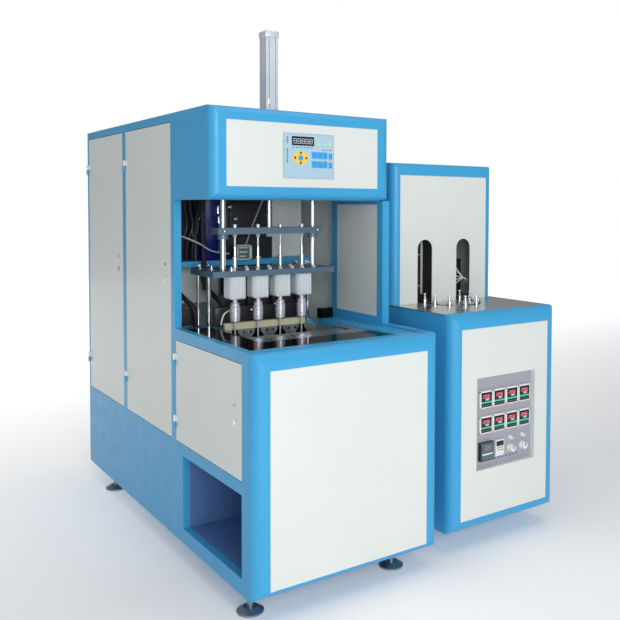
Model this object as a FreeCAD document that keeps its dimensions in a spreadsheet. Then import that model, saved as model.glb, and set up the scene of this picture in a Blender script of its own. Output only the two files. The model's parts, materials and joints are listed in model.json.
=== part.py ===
"""A semi-automatic bottle blow moulding machine: a blow unit and its preform oven.

Inside this file every place is measured from the blow unit's front left corner on the floor:
X runs right, Y runs back and Z runs up, in millimetres. Each sub-part's Placement then moves it
to the part's own frame, whose origin is at the middle of the machine's box, on the floor.
"""
import FreeCAD, Part
import Sketcher
import math
import os
import re

Vector = FreeCAD.Vector
doc = FreeCAD.newDocument("blow_moulding_machine")

# ---------------------------------------------------------------- driving sizes

SIZES = {
    # blow unit, outside
    "blow_width": 836,
    "blow_depth": 1970,
    "blow_height": 1866,
    "foot_height": 85,
    "table_height": 968,
    "head_front": 354,
    "head_bottom": 1505,
    "post_front": 726,
    "left_wall": 30,
    "right_wall": 36,
    "sheet_wall": 4,
    "rear_inset": 12,
    # rounded front bezels and the panels set in them
    "bezel_depth": 86,
    "bezel_round": 46,
    "bezel_border": 64,
    "bezel_foot_border": 31,
    "head_bezel_depth": 38,
    "head_bezel_round": 34,
    "head_border": 52,
    "panel_wall": 3,
    "panel_inset": 1,
    "panel_gap": 0.4,
    "keypad_width": 238,
    "keypad_height": 182,
    "keypad_left": 308,
    "keypad_base": 1594,
    "keypad_wall": 2.5,
    # doors in the left side, hinged at their rear edges
    "door_wall": 22,
    "door_skin": 2.5,
    "door_gap": 3,
    "rear_door_base": 500,
    "rear_door_top": 1828,
    "door_one_front": 1391,
    "door_one_back": 1945,
    "door_two_front": 768,
    "door_two_back": 1342,
    "door_three_front": 97,
    "door_three_back": 715,
    "door_three_top": 920,
    "hinge_radius": 6,
    "hinge_stand": 6.5,
    "hinge_half": 26,
    "hinge_leaf": 18,
    "hinge_leaf_wall": 3.5,
    "hinge_pin_radius": 3,
    "hinge_clearance": 0.06,
    "hinge_inset": 160,
    "lock_radius": 9,
    "lock_rim_radius": 12,
    "lock_rim": 3,
    "lock_setback": 56,
    "lock_height": 1169,
    "low_lock_height": 700,
    "lock_clearance": 0.05,
    "lock_cam_length": 82,
    "lock_cam_width": 16,
    "lock_cam_wall": 3,
    # recess in the left skirt
    "recess_front": 98,
    "recess_back": 645,
    "recess_base": 146,
    "recess_top": 450,
    "recess_reach": 380,
    # right wall of the blow area
    "wall_panel_front": 396,
    "wall_panel_back": 722,
    "wall_panel_base": 995,
    "wall_panel_top": 1490,
    "rim_width": 100,
    "rim_wall": 30,
    "rim_drop": 8,
    # welded base with its mould bed
    "rail": 55,
    "bed_top": 640,
    "bed_wall": 35,
    "bed_inset": 60,
    "bed_front": 100,
    "platen_wall": 40,
    "front_platen_wall": 25,
    "platen_half_width": 300,
    "ledge_wall": 25,
    "ledge_back": 880,
    # table
    "table_drop": 15,
    "table_wall": 3,
    "black_wall": 8,
    "black_back": 300,
    "black_left": 178,
    "table_back": 384,
    "table_arm": 38,
    "arm_back": 520,
    # mould
    "rod_plane": 682,
    "rod_pitch": 110,
    "mould_half_width": 236,
    "mould_depth": 100,
    "mould_top": 944,
    "mould_stroke": 200,
    "neck_radius": 14,
    "neck_height": 12,
    "bottle_radius": 42,
    "shoulder_drop": 50,
    "bottle_bottom_drop": 260,
    "neck_bar_half": 196,
    "neck_bar_height": 28,
    "neck_bar_depth": 26,
    "neck_bar_setback": 22,
    "tie_bar_radius": 15,
    "tie_bar_reach": 275,
    "tie_bar_low": 690,
    "tie_bar_high": 860,
    "running_clearance": 0.05,
    "moving_platen_wall": 40,
    "clamp_square": 140,
    "clamp_height": 794,
    "clamp_bore": 60,
    "clamp_rod": 20,
    "clamp_gap": 4,
    "clamp_cap": 14,
    "clamp_front": 88,
    "piston_wall": 20,
    # blow station
    "seal_half_width": 296,
    "seal_front": 612,
    "seal_back": 850,
    "seal_top": 1206,
    "seal_wall": 25,
    "guide_reach": 221,
    "guide_radius": 13,
    "stud_radius": 8,
    "stud_clearance": 0.2,
    "nut_radius": 15,
    "nut_height": 12,
    "thick_column": 11,
    "thin_column": 7,
    "thin_stud": 5,
    "thick_reach": 220,
    "thin_reach": 276,
    "thick_column_y": 832,
    "thin_column_y": 816,
    "cylinder_square": 80,
    "cylinder_height": 100,
    "groove": 6,
    "neck_shaft": 11,
    "neck_shaft_length": 88,
    "gland_radius": 9,
    "gland_height": 50,
    "gland_tip_radius": 6,
    "gland_tip_height": 48,
    "rod_radius": 4,
    "rod_bore": 4.5,
    "nozzle_top": 1062,
    "nozzle_bottom": 983,
    "nozzle_radius": 22,
    "nozzle_cap_radius": 18.5,
    "nozzle_cap": 16,
    "nozzle_nose": 17,
    "stretch_half_width": 258,
    "stretch_front": 644,
    "stretch_back": 720,
    "stretch_top": 1388,
    "stretch_wall": 28,
    "collar_radius": 22,
    "collar_height": 22,
    "rod_tip": 893,
    "rod_nut_radius": 9,
    "rod_nut_height": 13,
    "bridge_top": 1847,
    "bridge_wall": 25,
    "bridge_front": 600,
    "bridge_back": 764,
    "piston_rod_radius": 10,
    "piston_radius": 24.9,
    "piston_start": 1926,
    "cylinder_bore": 25,
    "cylinder_side": 60,
    "cylinder_cap_side": 66,
    "cylinder_low_cap": 33,
    "cylinder_high_cap": 30,
    "cylinder_top": 2245,
    "cover_gap": 1,
    # things on the shelf behind the blow station
    "shelf_top": 1230,
    "shelf_wall": 25,
    "shelf_front": 930,
    "shelf_depth": 120,
    "tank_radius": 60,
    "tank_centre_x": 262,
    "tank_centre_y": 1000,
    "tank_foot": 20,
    "tank_height": 420,
    "tank_dome": 32,
    "box_left": 372,
    "box_width": 64,
    "box_front": 900,
    "box_depth": 46,
    "box_height": 68,
    "box_foot": 3,
    "block_overhang": 10,
    "block_width": 66,
    "block_front": 688,
    "block_depth": 34,
    "block_height": 46,
    "hose_radius": 11,
    # feet
    "foot_pad_radius": 50,
    "foot_pad_height": 14,
    "foot_stem": 12,
    "foot_left": 50,
    "foot_right_inset": 146,
    "foot_front": 132,
    "foot_back": 1690,
    # oven
    "unit_gap": 104,
    "oven_width": 637,
    "oven_front": 47,
    "oven_table_height": 1026,
    "oven_bezel_depth": 60,
    "oven_border": 56,
    "oven_top_border": 66,
    "oven_foot_border": 48,
    "oven_foot_inset": 190,
    "oven_foot_setback": 300,
    "tower_front": 464,
    "tower_width": 617,
    "tower_height": 1683,
    "tower_border": 40,
    "tower_bezel_depth": 40,
    "tower_bezel_round": 34,
    "slot_width": 88,
    "slot_top": 1325,
    "oven_table_wall": 6,
    "track_radius": 120,
    "track_centre_y": 400,
    "track_slot": 26,
    "track_channel": 44,
    "track_depth": 60,
    "track_floor": 8,
    "track_end_gap": 162,
    "spindle_base_radius": 16,
    "spindle_base_height": 14,
    "spindle_radius": 8,
    "spindle_head_radius": 10,
    "spindle_head": 12,
    "spindle_tip": 22,
    "spindle_tip_radius": 4,
    "spindle_count": 34,
    "spindle_pitch": 76,
    "lamp_half_gap": 46,
    "lamp_front": 600,
    "lamp_length": 600,
    "lamp_base": 1110,
    "lamp_rows": 6,
    "lamp_pitch": 50,
    "lamp_radius": 6,
    "lamp_holder": 12,
    "lamp_stand_wall": 6,
    "control_inset": 145,
    "control_width": 355,
    "control_base": 338,
    "control_height": 404,
    "control_recess": 25,
    "control_wall": 3,
    "jamb_wall": 2.5,
    "controller_side": 72,
    "controller_height": 74,
    "controller_depth": 9,
    "controller_inset": 33,
    "controller_pitch": 78,
    "controller_high": 603,
    "controller_low": 491,
    "meter_inset": 31,
    "meter_base": 371,
    "meter_width": 80,
    "meter_height": 80,
    "meter_depth": 16,
    "counter_inset": 129,
    "counter_base": 379,
    "counter_width": 50,
    "counter_height": 68,
    "knob_shaft": 3,
    "large_knob_radius": 18,
    "large_knob_height": 26,
    "large_knob_z": 400,
    "small_knob_radius": 10,
    "small_knob_height": 18,
    "small_knob_z": 447,
    "knob_one_inset": 223,
    "knob_two_inset": 299,
    "knob_stand": 0.4,
}

# Places worked out from the driving sizes. Each is a formula in the words above.
PLACES = {
    "side_proud": "(hinge_stand + hinge_radius)",
    "origin_x": "((oven_right - side_proud) / 2)",
    "origin_y": "(blow_depth / 2)",
    "centre_x": "(blow_width / 2)",
    "cover_base": "(blow_height - sheet_wall)",
    "head_back": "(head_front + head_bezel_depth)",
    "right_inside": "(blow_width - right_wall)",
    "rim_left": "(right_inside - rim_width)",
    "rim_top": "(table_height - rim_drop)",
    "rail_top": "(foot_height + rail)",
    "table_top": "(table_height - table_drop)",
    "table_base": "(table_top - table_wall)",
    "mould_back": "(rod_plane + mould_depth)",
    "ledge_top": "(table_top - black_wall)",
    "platen_back": "(mould_back + platen_wall)",
    "seal_base": "(seal_top - seal_wall)",
    "cylinder_base": "(seal_base - cylinder_height)",
    "stretch_base": "(stretch_top - stretch_wall)",
    "bridge_base": "(bridge_top - bridge_wall)",
    "moving_face": "(rod_plane - mould_stroke)",
    "moving_back": "(moving_face - mould_depth)",
    "clamp_end": "(moving_back - moving_platen_wall - clamp_gap)",
    "tower_left": "(blow_width + unit_gap)",
    "oven_left": "(blow_width + unit_gap)",
    "oven_right": "(oven_left + oven_width)",
    "track_straight": "((spindle_count * spindle_pitch - 2 * pi * track_radius) / 2)",
    "oven_back": "(track_centre_y + track_straight + track_radius + track_end_gap)",
    "oven_shell_front": "(oven_front + oven_bezel_depth)",
    "tower_shell_front": "(tower_front + tower_bezel_depth)",
    "track_centre_x": "(tower_left + tower_width / 2)",
    "oven_table_base": "(oven_table_height - oven_table_wall)",
    "control_face": "(oven_front + control_recess)",
    "control_left": "(oven_left + control_inset)",
    "controller_left": "(control_left + controller_inset)",
    "meter_left": "(control_left + meter_inset)",
    "counter_left": "(control_left + counter_inset)",
    "knob_one_x": "(control_left + knob_one_inset)",
    "knob_two_x": "(control_left + knob_two_inset)",
    "block_left": "(rim_left - block_overhang)",
}

sheet = doc.addObject("Spreadsheet::Sheet", "sizes")
for row, (alias, number) in enumerate(SIZES.items(), start=1):
    sheet.set(f"A{row}", alias)
    sheet.set(f"B{row}", str(number))
    sheet.setAlias(f"B{row}", alias)
doc.recompute()


def formula(words):
    """Turn a formula in plain words into one that reads the spreadsheet."""
    def swap(match):
        word = match.group()
        if word in PLACES:
            return formula(PLACES[word])
        return f"sizes.{word}" if word in SIZES else word
    return re.sub(r"[a-z_]+", swap, words)


def size(alias):
    """A number read from the spreadsheet."""
    return float(sheet.get(alias))


def bind(thing, **formulas):
    for name, words in formulas.items():
        thing.setExpression(name.replace("__", "."), formula(words))


# ---------------------------------------------------------------- building blocks

# Turns that stand a flat piece up. FRONT sends its thickness forwards (-Y), BACK sends it
# backwards (+Y) and SIDE sends it to the right (+X).
FLAT = FreeCAD.Rotation()
FRONT = FreeCAD.Rotation(Vector(1, 0, 0), 90)
BACK = FreeCAD.Rotation(Vector(0, 0, 1), 180).multiply(FRONT)
SIDE = FreeCAD.Rotation(Vector(1, 1, 1), 120)
ALONG = {"z": FLAT, "y": FreeCAD.Rotation(Vector(1, 0, 0), -90), "x": SIDE}

subparts = {}


def place(thing, x, y, z):
    bind(thing, Placement__Base__x=x, Placement__Base__y=y, Placement__Base__z=z)
    return thing


def subpart(thing, label, x="0", y="0", z="0"):
    """Name a finished piece and set its Placement in the part's own frame."""
    thing.Label = label
    place(thing, f"{x} - origin_x", f"{y} - origin_y", z)
    subparts[label] = thing
    return thing


def box(name, x, y, z, length, width, height):
    thing = doc.addObject("Part::Box", name)
    bind(thing, Length=length, Width=width, Height=height)
    return place(thing, x, y, z)


def cylinder(name, x, y, z, radius, height, along="z"):
    thing = doc.addObject("Part::Cylinder", name)
    thing.Placement.Rotation = ALONG[along]
    bind(thing, Radius=radius, Height=height)
    return place(thing, x, y, z)


def cone(name, x, y, z, low_radius, high_radius, height):
    thing = doc.addObject("Part::Cone", name)
    bind(thing, Radius1=low_radius, Radius2=high_radius, Height=height)
    return place(thing, x, y, z)


def hexagon(name, x, y, z, radius, height):
    thing = doc.addObject("Part::Prism", name)
    thing.Polygon = 6
    bind(thing, Circumradius=radius, Height=height)
    return place(thing, x, y, z)


def fuse(name, things):
    joined = doc.addObject("Part::MultiFuse", name)
    joined.Shapes = things
    joined.Refine = True
    return joined


def cut(name, base, tools):
    taken = doc.addObject("Part::Cut", name)
    taken.Base = base
    taken.Tool = tools[0] if len(tools) == 1 else fuse(name + "_tools", tools)
    return taken


def group(name, things):
    gathered = doc.addObject("Part::Compound", name)
    gathered.Links = things
    return gathered


def body(name, turn=FLAT):
    thing = doc.addObject("PartDesign::Body", name)
    thing.Placement.Rotation = turn
    return thing


def sketch(of_body, name, lift="0", shift="0"):
    """A sketch on the body's own XY plane, lifted along its normal and shifted along X."""
    flat = of_body.newObject("Sketcher::SketchObject", name)
    planes = [item for item in of_body.Origin.OriginFeatures if item.Role == "XY_Plane"]
    flat.AttachmentSupport = (planes[0], "")
    flat.MapMode = "FlatFace"
    bind(flat, AttachmentOffset__Base__z=lift, AttachmentOffset__Base__x=shift)
    return flat


def hold(flat, label, kind, *ends, words):
    """Add one distance or radius to a sketch and bind it to its formula."""
    index = flat.addConstraint(Sketcher.Constraint(kind, *ends, 1.0))
    flat.renameConstraint(index, label)
    flat.setExpression(f"Constraints.{label}", formula(words))


def outline(flat, corners):
    """A closed outline of straight edges through the corners, each corner held from the origin."""
    first = flat.GeometryCount
    count = len(corners)
    ring = [Vector(math.cos(math.tau * k / count), math.sin(math.tau * k / count), 0) for k in range(count)]
    for k in range(count):
        flat.addGeometry(Part.LineSegment(ring[k], ring[(k + 1) % count]), False)
    for k in range(count):
        flat.addConstraint(Sketcher.Constraint("Coincident", first + k, 2, first + (k + 1) % count, 1))
    for k, (across, up) in enumerate(corners):
        hold(flat, f"across_{first + k}", "DistanceX", -1, 1, first + k, 1, words=across)
        hold(flat, f"up_{first + k}", "DistanceY", -1, 1, first + k, 1, words=up)


def rectangle(flat, left, low, width, height):
    outline(flat, [(left, low), (f"{left} + {width}", low), (f"{left} + {width}", f"{low} + {height}"),
                   (left, f"{low} + {height}")])


def pad(of_body, name, flat, length):
    feature = of_body.newObject("PartDesign::Pad", name)
    feature.Profile = flat
    bind(feature, Length=length)
    flat.Visibility = False
    return feature


def pocket(of_body, name, flat, length):
    """Cut away from the sketch along its normal."""
    feature = of_body.newObject("PartDesign::Pocket", name)
    feature.Profile = flat
    feature.Reversed = True
    bind(feature, Length=length)
    return feature


def circle(flat, across, up, radius):
    index = flat.GeometryCount
    flat.addGeometry(Part.Circle(Vector(0, 0, 0), Vector(0, 0, 1), 1), False)
    hold(flat, f"radius_{index}", "Radius", index, words=radius)
    hold(flat, f"across_{index}", "DistanceX", -1, 1, index, 3, words=across)
    hold(flat, f"up_{index}", "DistanceY", -1, 1, index, 3, words=up)


def plate(name, turn, corners, wall, holes=(), round_holes=()):
    """A flat plate with an outline, rectangular openings and round holes cut through it."""
    thing = body(name, turn)
    flat = sketch(thing, name + "_outline")
    outline(flat, corners)
    pad(thing, name + "_pad", flat, wall)
    doc.recompute()
    if holes or round_holes:
        openings = sketch(thing, name + "_openings")
        for hole in holes:
            rectangle(openings, *hole)
        for hole in round_holes:
            circle(openings, *hole)
        pocket(thing, name + "_cut", openings, wall)
    return thing


def corners_of(left, low, right, high):
    return [(left, low), (right, low), (right, high), (left, high)]


def rounded_box(name, x, y, z, length, width, height, radius, sides):
    """A box whose front edges (towards -Y) are rounded on the named sides."""
    plain = box(name + "_plain", x, y, z, length, width, height)
    doc.recompute()
    limits = plain.Shape.BoundBox
    at_side = {
        "left": lambda b: abs(b.XMax - limits.XMin) < 1e-6,
        "right": lambda b: abs(b.XMin - limits.XMax) < 1e-6,
        "low": lambda b: abs(b.ZMax - limits.ZMin) < 1e-6,
        "high": lambda b: abs(b.ZMin - limits.ZMax) < 1e-6,
    }
    chosen = []
    for number, edge in enumerate(plain.Shape.Edges, start=1):
        bounds = edge.BoundBox
        in_front = abs(bounds.YMax - limits.YMin) < 1e-6
        if in_front and any(at_side[side](bounds) for side in sides):
            chosen.append((number, radius, radius))
    rounded = doc.addObject("Part::Fillet", name)
    rounded.Base = plain
    rounded.Edges = chosen
    return rounded


def bezel(label, x, y, z, length, depth, height, rounding, opening, open_base=False):
    """A hollow rounded sheet front, open at the back, with a rectangular opening for its panel.

    opening is (left, low, right, high). With open_base it has no rounded lower edge and no floor.
    """
    sides = ("left", "right", "high") if open_base else ("left", "right", "low", "high")
    wall = "sheet_wall"
    radius = size(rounding)
    base = z if not open_base else f"{z} - 2 * {wall}"
    rise = f"{height} - 2 * {wall}" if not open_base else f"{height} + {wall}"
    outer = rounded_box(label + "_outer", x, y, z, length, depth, height, radius, sides)
    inner = rounded_box(label + "_inner", f"{x} + {wall}", f"{y} + {wall}", f"{base} + {wall}",
                        f"{length} - 2 * {wall}", depth, rise, radius - size(wall), sides)
    left, low, right, high = opening
    window = box(label + "_window", left, f"{y} - {wall}", low, f"{right} - ({left})", f"3 * {wall}",
                 f"{high} - ({low})")
    subpart(cut(label, outer, [inner, window]), label)


def panel(label, left, low, right, high, front, holes=()):
    """A cream panel that sits in a bezel's opening with a small gap all round."""
    gap = "panel_gap"
    corners = corners_of(gap, gap, f"{right} - ({left}) - {gap}", f"{high} - ({low}) - {gap}")
    thing = plate(label, FRONT, corners, "panel_wall", holes)
    return subpart(thing, label, left, f"{front} + panel_inset + panel_wall", low)


# ---------------------------------------------------------------- welded base

def tie_bar_places():
    for side in ("-", "+"):
        for level in ("tie_bar_low", "tie_bar_high"):
            yield f"centre_x {side} tie_bar_reach", level


def base_frame():
    """Floor rails, four legs, the mould bed and the two upright platens that hold the tie bars."""
    long_rail = "blow_depth - rear_inset - sheet_wall - bezel_depth"
    cross = "right_inside - left_wall"
    pieces = [
        box("left_rail", "left_wall", "bezel_depth", "foot_height", "rail", long_rail, "rail"),
        box("right_rail", "right_inside - rail", "bezel_depth", "foot_height", "rail", long_rail, "rail"),
    ]
    for name, y in (("front", "bezel_depth"), ("middle", "ledge_back - rail"), ("foot", "foot_back - rail / 2")):
        pieces.append(box(f"{name}_cross_rail", "left_wall", y, "foot_height", cross, "rail", "rail"))
    leg_height = "bed_top - foot_height"
    bed_left = "bed_inset"
    bed_right = "blow_width - bed_inset"
    for name, x, y in (("front_left", "left_wall + recess_reach + rail", "bezel_depth + 14"),
                       ("front_right", f"{bed_right} - rail", "bezel_depth + 14"),
                       ("back_left", bed_left, "ledge_back - rail"),
                       ("back_right", f"{bed_right} - rail", "ledge_back - rail")):
        pieces.append(box(f"{name}_leg", x, y, "foot_height", "rail", "rail", leg_height))
    pieces.append(box("mould_bed", bed_left, "bed_front", "bed_top - bed_wall", f"{bed_right} - {bed_left}",
                      "ledge_back - bed_front", "bed_wall"))
    upright_left = "centre_x - platen_half_width"
    upright_width = "2 * platen_half_width"
    pieces.append(box("rear_platen", upright_left, "mould_back", "bed_top", upright_width, "platen_wall",
                      "ledge_top - bed_top"))
    pieces.append(box("column_ledge", upright_left, "mould_back", "ledge_top - ledge_wall", upright_width,
                      "ledge_back - mould_back", "ledge_wall"))
    pieces.append(box("front_platen", upright_left, "bed_front", "bed_top", upright_width,
                      "front_platen_wall", "ledge_top - ledge_wall - bed_top"))
    holes = [box("clamp_hole", "centre_x - clamp_square / 2", "bed_front - 1", "clamp_height - clamp_square / 2",
                 "clamp_square", "front_platen_wall + 2", "clamp_square")]
    for number, (x, z) in enumerate(tie_bar_places()):
        holes.append(cylinder(f"tie_hole_{number}", x, "bed_front - 1", z, "tie_bar_radius",
                              "platen_back - bed_front + 2", "y"))
    subpart(cut("base_frame", fuse("base_weldment", pieces), holes), "base_frame")


DOORS = {
    # name: (front edge, back edge, base, top, lock height)
    "rear_door": ("door_one_front", "door_one_back", "rear_door_base", "rear_door_top", "lock_height"),
    "middle_door": ("door_two_front", "door_two_back", "rear_door_base", "rear_door_top", "lock_height"),
    "front_door": ("door_three_front", "door_three_back", "rear_door_base", "door_three_top", "low_lock_height"),
}


def hinge_heights(low, high):
    return (f"{low} + hinge_inset", f"{high} - hinge_inset") if high != "door_three_top" else (
        f"{low} + hinge_inset / 2", f"{high} - hinge_inset / 2")


def left_side_frame():
    """The blue left side: an L-shaped sheet frame with three door openings and a low recess,
    and the fixed lower halves and pins of the door hinges."""
    corners = [("bezel_depth", "foot_height"), ("blow_depth", "foot_height"), ("blow_depth", "cover_base"),
               ("post_front", "cover_base"), ("post_front", "table_height"), ("bezel_depth", "table_height")]
    holes = [("recess_front", "recess_base", "recess_back - recess_front", "recess_top - recess_base")]
    hinges = []
    for name, (front, back, low, high, _) in DOORS.items():
        holes.append((f"{front} - door_gap", f"{low} - door_gap", f"{back} - {front} + 2 * door_gap",
                      f"{high} - {low} + 2 * door_gap"))
        axis_y = f"{back} + door_gap"
        for number, z in enumerate(hinge_heights(low, high)):
            tag = f"{name}_{number}"
            hinges += [
                cylinder(f"{tag}_low_knuckle", "-hinge_stand", axis_y, f"{z} - hinge_half", "hinge_radius",
                         "hinge_half"),
                cylinder(f"{tag}_pin", "-hinge_stand", axis_y, f"{z} - hinge_half", "hinge_pin_radius",
                         "2 * hinge_half - 2"),
                box(f"{tag}_low_leaf", "-hinge_leaf_wall", axis_y, f"{z} - hinge_half", "hinge_leaf_wall + 0.5",
                    "hinge_leaf", "hinge_half"),
            ]
    side = plate("left_side_plate", SIDE, corners, "left_wall", holes)
    subpart(fuse("left_side_frame", [side] + hinges), "left_side_frame")


def pan(name, x, y, z, depth, width, height, open_side="+"):
    """A folded sheet pan, open towards +X or -X."""
    skin = "door_skin"
    outer = box(name + "_outer", x, y, z, depth, width, height)
    hollow = box(name + "_hollow", f"{x} {open_side} {skin}", f"{y} + {skin}", f"{z} + {skin}", depth,
                 f"{width} - 2 * {skin}", f"{height} - 2 * {skin}")
    return cut(name, outer, [hollow])


def doors():
    """Folded door pans with the upper hinge halves, each with its quarter-turn lock."""
    for name, (front, back, low, high, lock_z) in DOORS.items():
        width = f"{back} - {front}"
        height = f"{high} - {low}"
        skin = pan(f"{name}_skin", "0", front, low, "door_wall", width, height)
        lock_y = f"{front} + lock_setback"
        boss = cylinder(f"{name}_boss", "0", lock_y, lock_z, "lock_radius + lock_rim", "door_wall", "x")
        axis_y = f"{back} + door_gap"
        knuckles = []
        bores = [cylinder(f"{name}_lock_bore", "-1", lock_y, lock_z, "lock_radius + lock_clearance",
                          "door_wall + 2", "x")]
        for number, z in enumerate(hinge_heights(low, high)):
            tag = f"{name}_{number}"
            knuckles += [
                cylinder(f"{tag}_high_knuckle", "-hinge_stand", axis_y, f"{z} + 0.3", "hinge_radius",
                         "hinge_half - 0.3"),
                box(f"{tag}_high_leaf", "-hinge_leaf_wall", f"{axis_y} - hinge_leaf", f"{z} + 0.3",
                    "hinge_leaf_wall + 0.5", "hinge_leaf", "hinge_half - 0.3"),
            ]
            bores.append(cylinder(f"{tag}_knuckle_bore", "-hinge_stand", axis_y, f"{z} - 1",
                                  "hinge_pin_radius + hinge_clearance", "2 * hinge_half"))
        shell = fuse(f"{name}_shell", [skin, boss] + knuckles)
        subpart(cut(name, shell, bores), name)
        barrel_length = "door_wall + lock_rim"
        lock = fuse(f"{name}_lock", [
            cylinder(f"{name}_lock_rim", "-lock_rim", lock_y, lock_z, "lock_rim_radius", "lock_rim - 0.3", "x"),
            cylinder(f"{name}_lock_barrel", "-lock_rim", lock_y, lock_z, "lock_radius", f"{barrel_length} + 12",
                     "x"),
            box(f"{name}_lock_cam", "left_wall + 1", f"{lock_y} - lock_cam_width / 2",
                f"{lock_z} - lock_cam_width / 2", "lock_cam_wall", "lock_cam_width", "lock_cam_length"),
        ])
        subpart(lock, f"{name}_lock")


def right_side():
    """The blue right side with its table rim, and the cream panels set in it."""
    corners = [("bezel_depth", "foot_height"), ("blow_depth", "foot_height"), ("blow_depth", "cover_base"),
               ("head_back", "cover_base"), ("head_back", "head_bottom"), ("head_front", "head_bottom"),
               ("head_front", "table_height"), ("bezel_depth", "table_height")]
    openings = [
        ("wall_panel_front", "wall_panel_back", "wall_panel_base", "wall_panel_top"),
        ("door_two_front", "door_two_back", "rear_door_base", "rear_door_top"),
        ("door_one_front", "door_one_back", "rear_door_base", "rear_door_top"),
    ]
    holes = [(front, low, f"{back} - {front}", f"{high} - {low}") for front, back, low, high in openings]
    side = plate("right_side_plate", SIDE, corners, "right_wall", holes)
    place(side, "right_inside", "0", "0")
    rim = box("right_rim", "rim_left", "bezel_depth", "rim_top - rim_wall", "rim_width",
              "post_front - bezel_depth", "rim_wall")
    subpart(fuse("right_side_frame", [side, rim]), "right_side_frame")
    gap = "panel_gap"
    panels = []
    for name, open_side, (front, back, low, high) in zip(("wall", "middle", "rear"), "+--", openings):
        panels.append(pan(f"{name}_right_pan", f"right_inside + {gap}", f"{front} + {gap}", f"{low} + {gap}",
                          f"right_wall - 2 * {gap}", f"{back} - {front} - 2 * {gap}",
                          f"{high} - {low} - 2 * {gap}", open_side))
    subpart(group("right_side_panels", panels), "right_side_panels")


def casing():
    """Rear panel, top cover with the head's left cheek, and the three bezels with their panels."""
    subpart(box("rear_panel", "0", "0", "0", "right_inside - left_wall", "sheet_wall", "cover_base - rail_top"),
            "rear_panel", "left_wall", "blow_depth - rear_inset - sheet_wall", "rail_top")
    roof = box("roof", "0", "head_back", "cover_base", "blow_width", "blow_depth - head_back", "sheet_wall")
    cheek = box("cheek", "0", "head_back", "head_bottom", "sheet_wall", "post_front - head_back",
                "cover_base - head_bottom")
    side = "cylinder_cap_side + 2 * cover_gap"
    hole = box("cylinder_hole", f"centre_x - ({side}) / 2", f"rod_plane - ({side}) / 2", "cover_base - 1", side,
               side, "sheet_wall + 2")
    subpart(cut("top_cover", fuse("cover_sheets", [roof, cheek]), [hole]), "top_cover")
    bezel("lower_bezel", "0", "0", "foot_height", "blow_width", "bezel_depth", "table_height - foot_height",
          "bezel_round", ("bezel_border", "foot_height + bezel_foot_border", "blow_width - bezel_border",
                          "table_height - bezel_border"))
    panel("lower_panel", "bezel_border", "foot_height + bezel_foot_border", "blow_width - bezel_border",
          "table_height - bezel_border", "0")
    bezel("head_bezel", "0", "head_front", "head_bottom", "blow_width", "head_bezel_depth",
          "blow_height - head_bottom", "head_bezel_round",
          ("bezel_border", "head_bottom + head_border", "blow_width - bezel_border", "blow_height - head_border"))
    panel("head_panel", "bezel_border", "head_bottom + head_border", "blow_width - bezel_border",
          "blow_height - head_border", "head_front")
    keypad = plate("control_keypad", FRONT, corners_of("0", "0", "keypad_width", "keypad_height"), "keypad_wall")
    subpart(keypad, "control_keypad", "keypad_left", "head_front + panel_inset", "keypad_base")
    outer = box("tray_outer", "left_wall", "recess_front - panel_wall", "recess_base - panel_wall",
                "recess_reach", "recess_back - recess_front + 2 * panel_wall",
                "recess_top - recess_base + 2 * panel_wall")
    inner = box("tray_inner", "left_wall - 1", "recess_front", "recess_base", "recess_reach - panel_wall + 1",
                "recess_back - recess_front", "recess_top - recess_base")
    subpart(cut("recess_tray", outer, [inner]), "recess_tray")


def foot(name, x, y):
    rise = "foot_pad_height"
    return fuse(name, [
        cylinder(f"{name}_pad", x, y, "0", "foot_pad_radius", f"{rise} / 2"),
        cone(f"{name}_crown", x, y, f"{rise} / 2", "foot_pad_radius", "foot_pad_radius * 0.55", rise),
        cylinder(f"{name}_stem", x, y, rise, "foot_stem", f"foot_height - {rise}"),
        hexagon(f"{name}_nut", x, y, "foot_height - 2 * nut_height", "foot_stem * 1.7", "nut_height"),
    ])


def feet():
    corners = {
        "front_left": ("foot_left", "foot_front"),
        "front_right": ("blow_width - foot_right_inset", "foot_front"),
        "back_left": ("foot_left", "foot_back"),
        "back_right": ("blow_width - foot_right_inset", "foot_back"),
    }
    near, far = "oven_left + oven_foot_inset", "oven_right - oven_foot_inset"
    front, back = "oven_front + oven_foot_setback", "oven_back - oven_foot_setback / 2"
    corners |= {
        "oven_front_left": (near, front),
        "oven_front_right": (far, front),
        "oven_back_left": (near, back),
        "oven_back_right": (far, back),
    }
    subpart(group("levelling_feet", [foot(f"{name}_foot", x, y) for name, (x, y) in corners.items()]),
            "levelling_feet")


def table():
    """A black L-shaped plate along the front and left, and a steel plate beside and before the mould."""
    black = plate("black_table_strip", FLAT, [
        ("left_wall", "bezel_depth"), ("rim_left", "bezel_depth"), ("rim_left", "black_back"),
        ("black_left", "black_back"), ("black_left", "ledge_back - rail * 2"),
        ("left_wall", "ledge_back - rail * 2")], "black_wall")
    subpart(black, "black_table_strip", z="ledge_top")
    steel = plate("table_plate", FLAT, [
        ("black_left", "black_back"), ("rim_left", "black_back"), ("rim_left", "arm_back"),
        ("rim_left - table_arm", "arm_back"), ("rim_left - table_arm", "table_back"),
        ("black_left", "table_back")], "table_wall")
    subpart(steel, "table_plate", z="table_base")


# ---------------------------------------------------------------- mould and clamp

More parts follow.
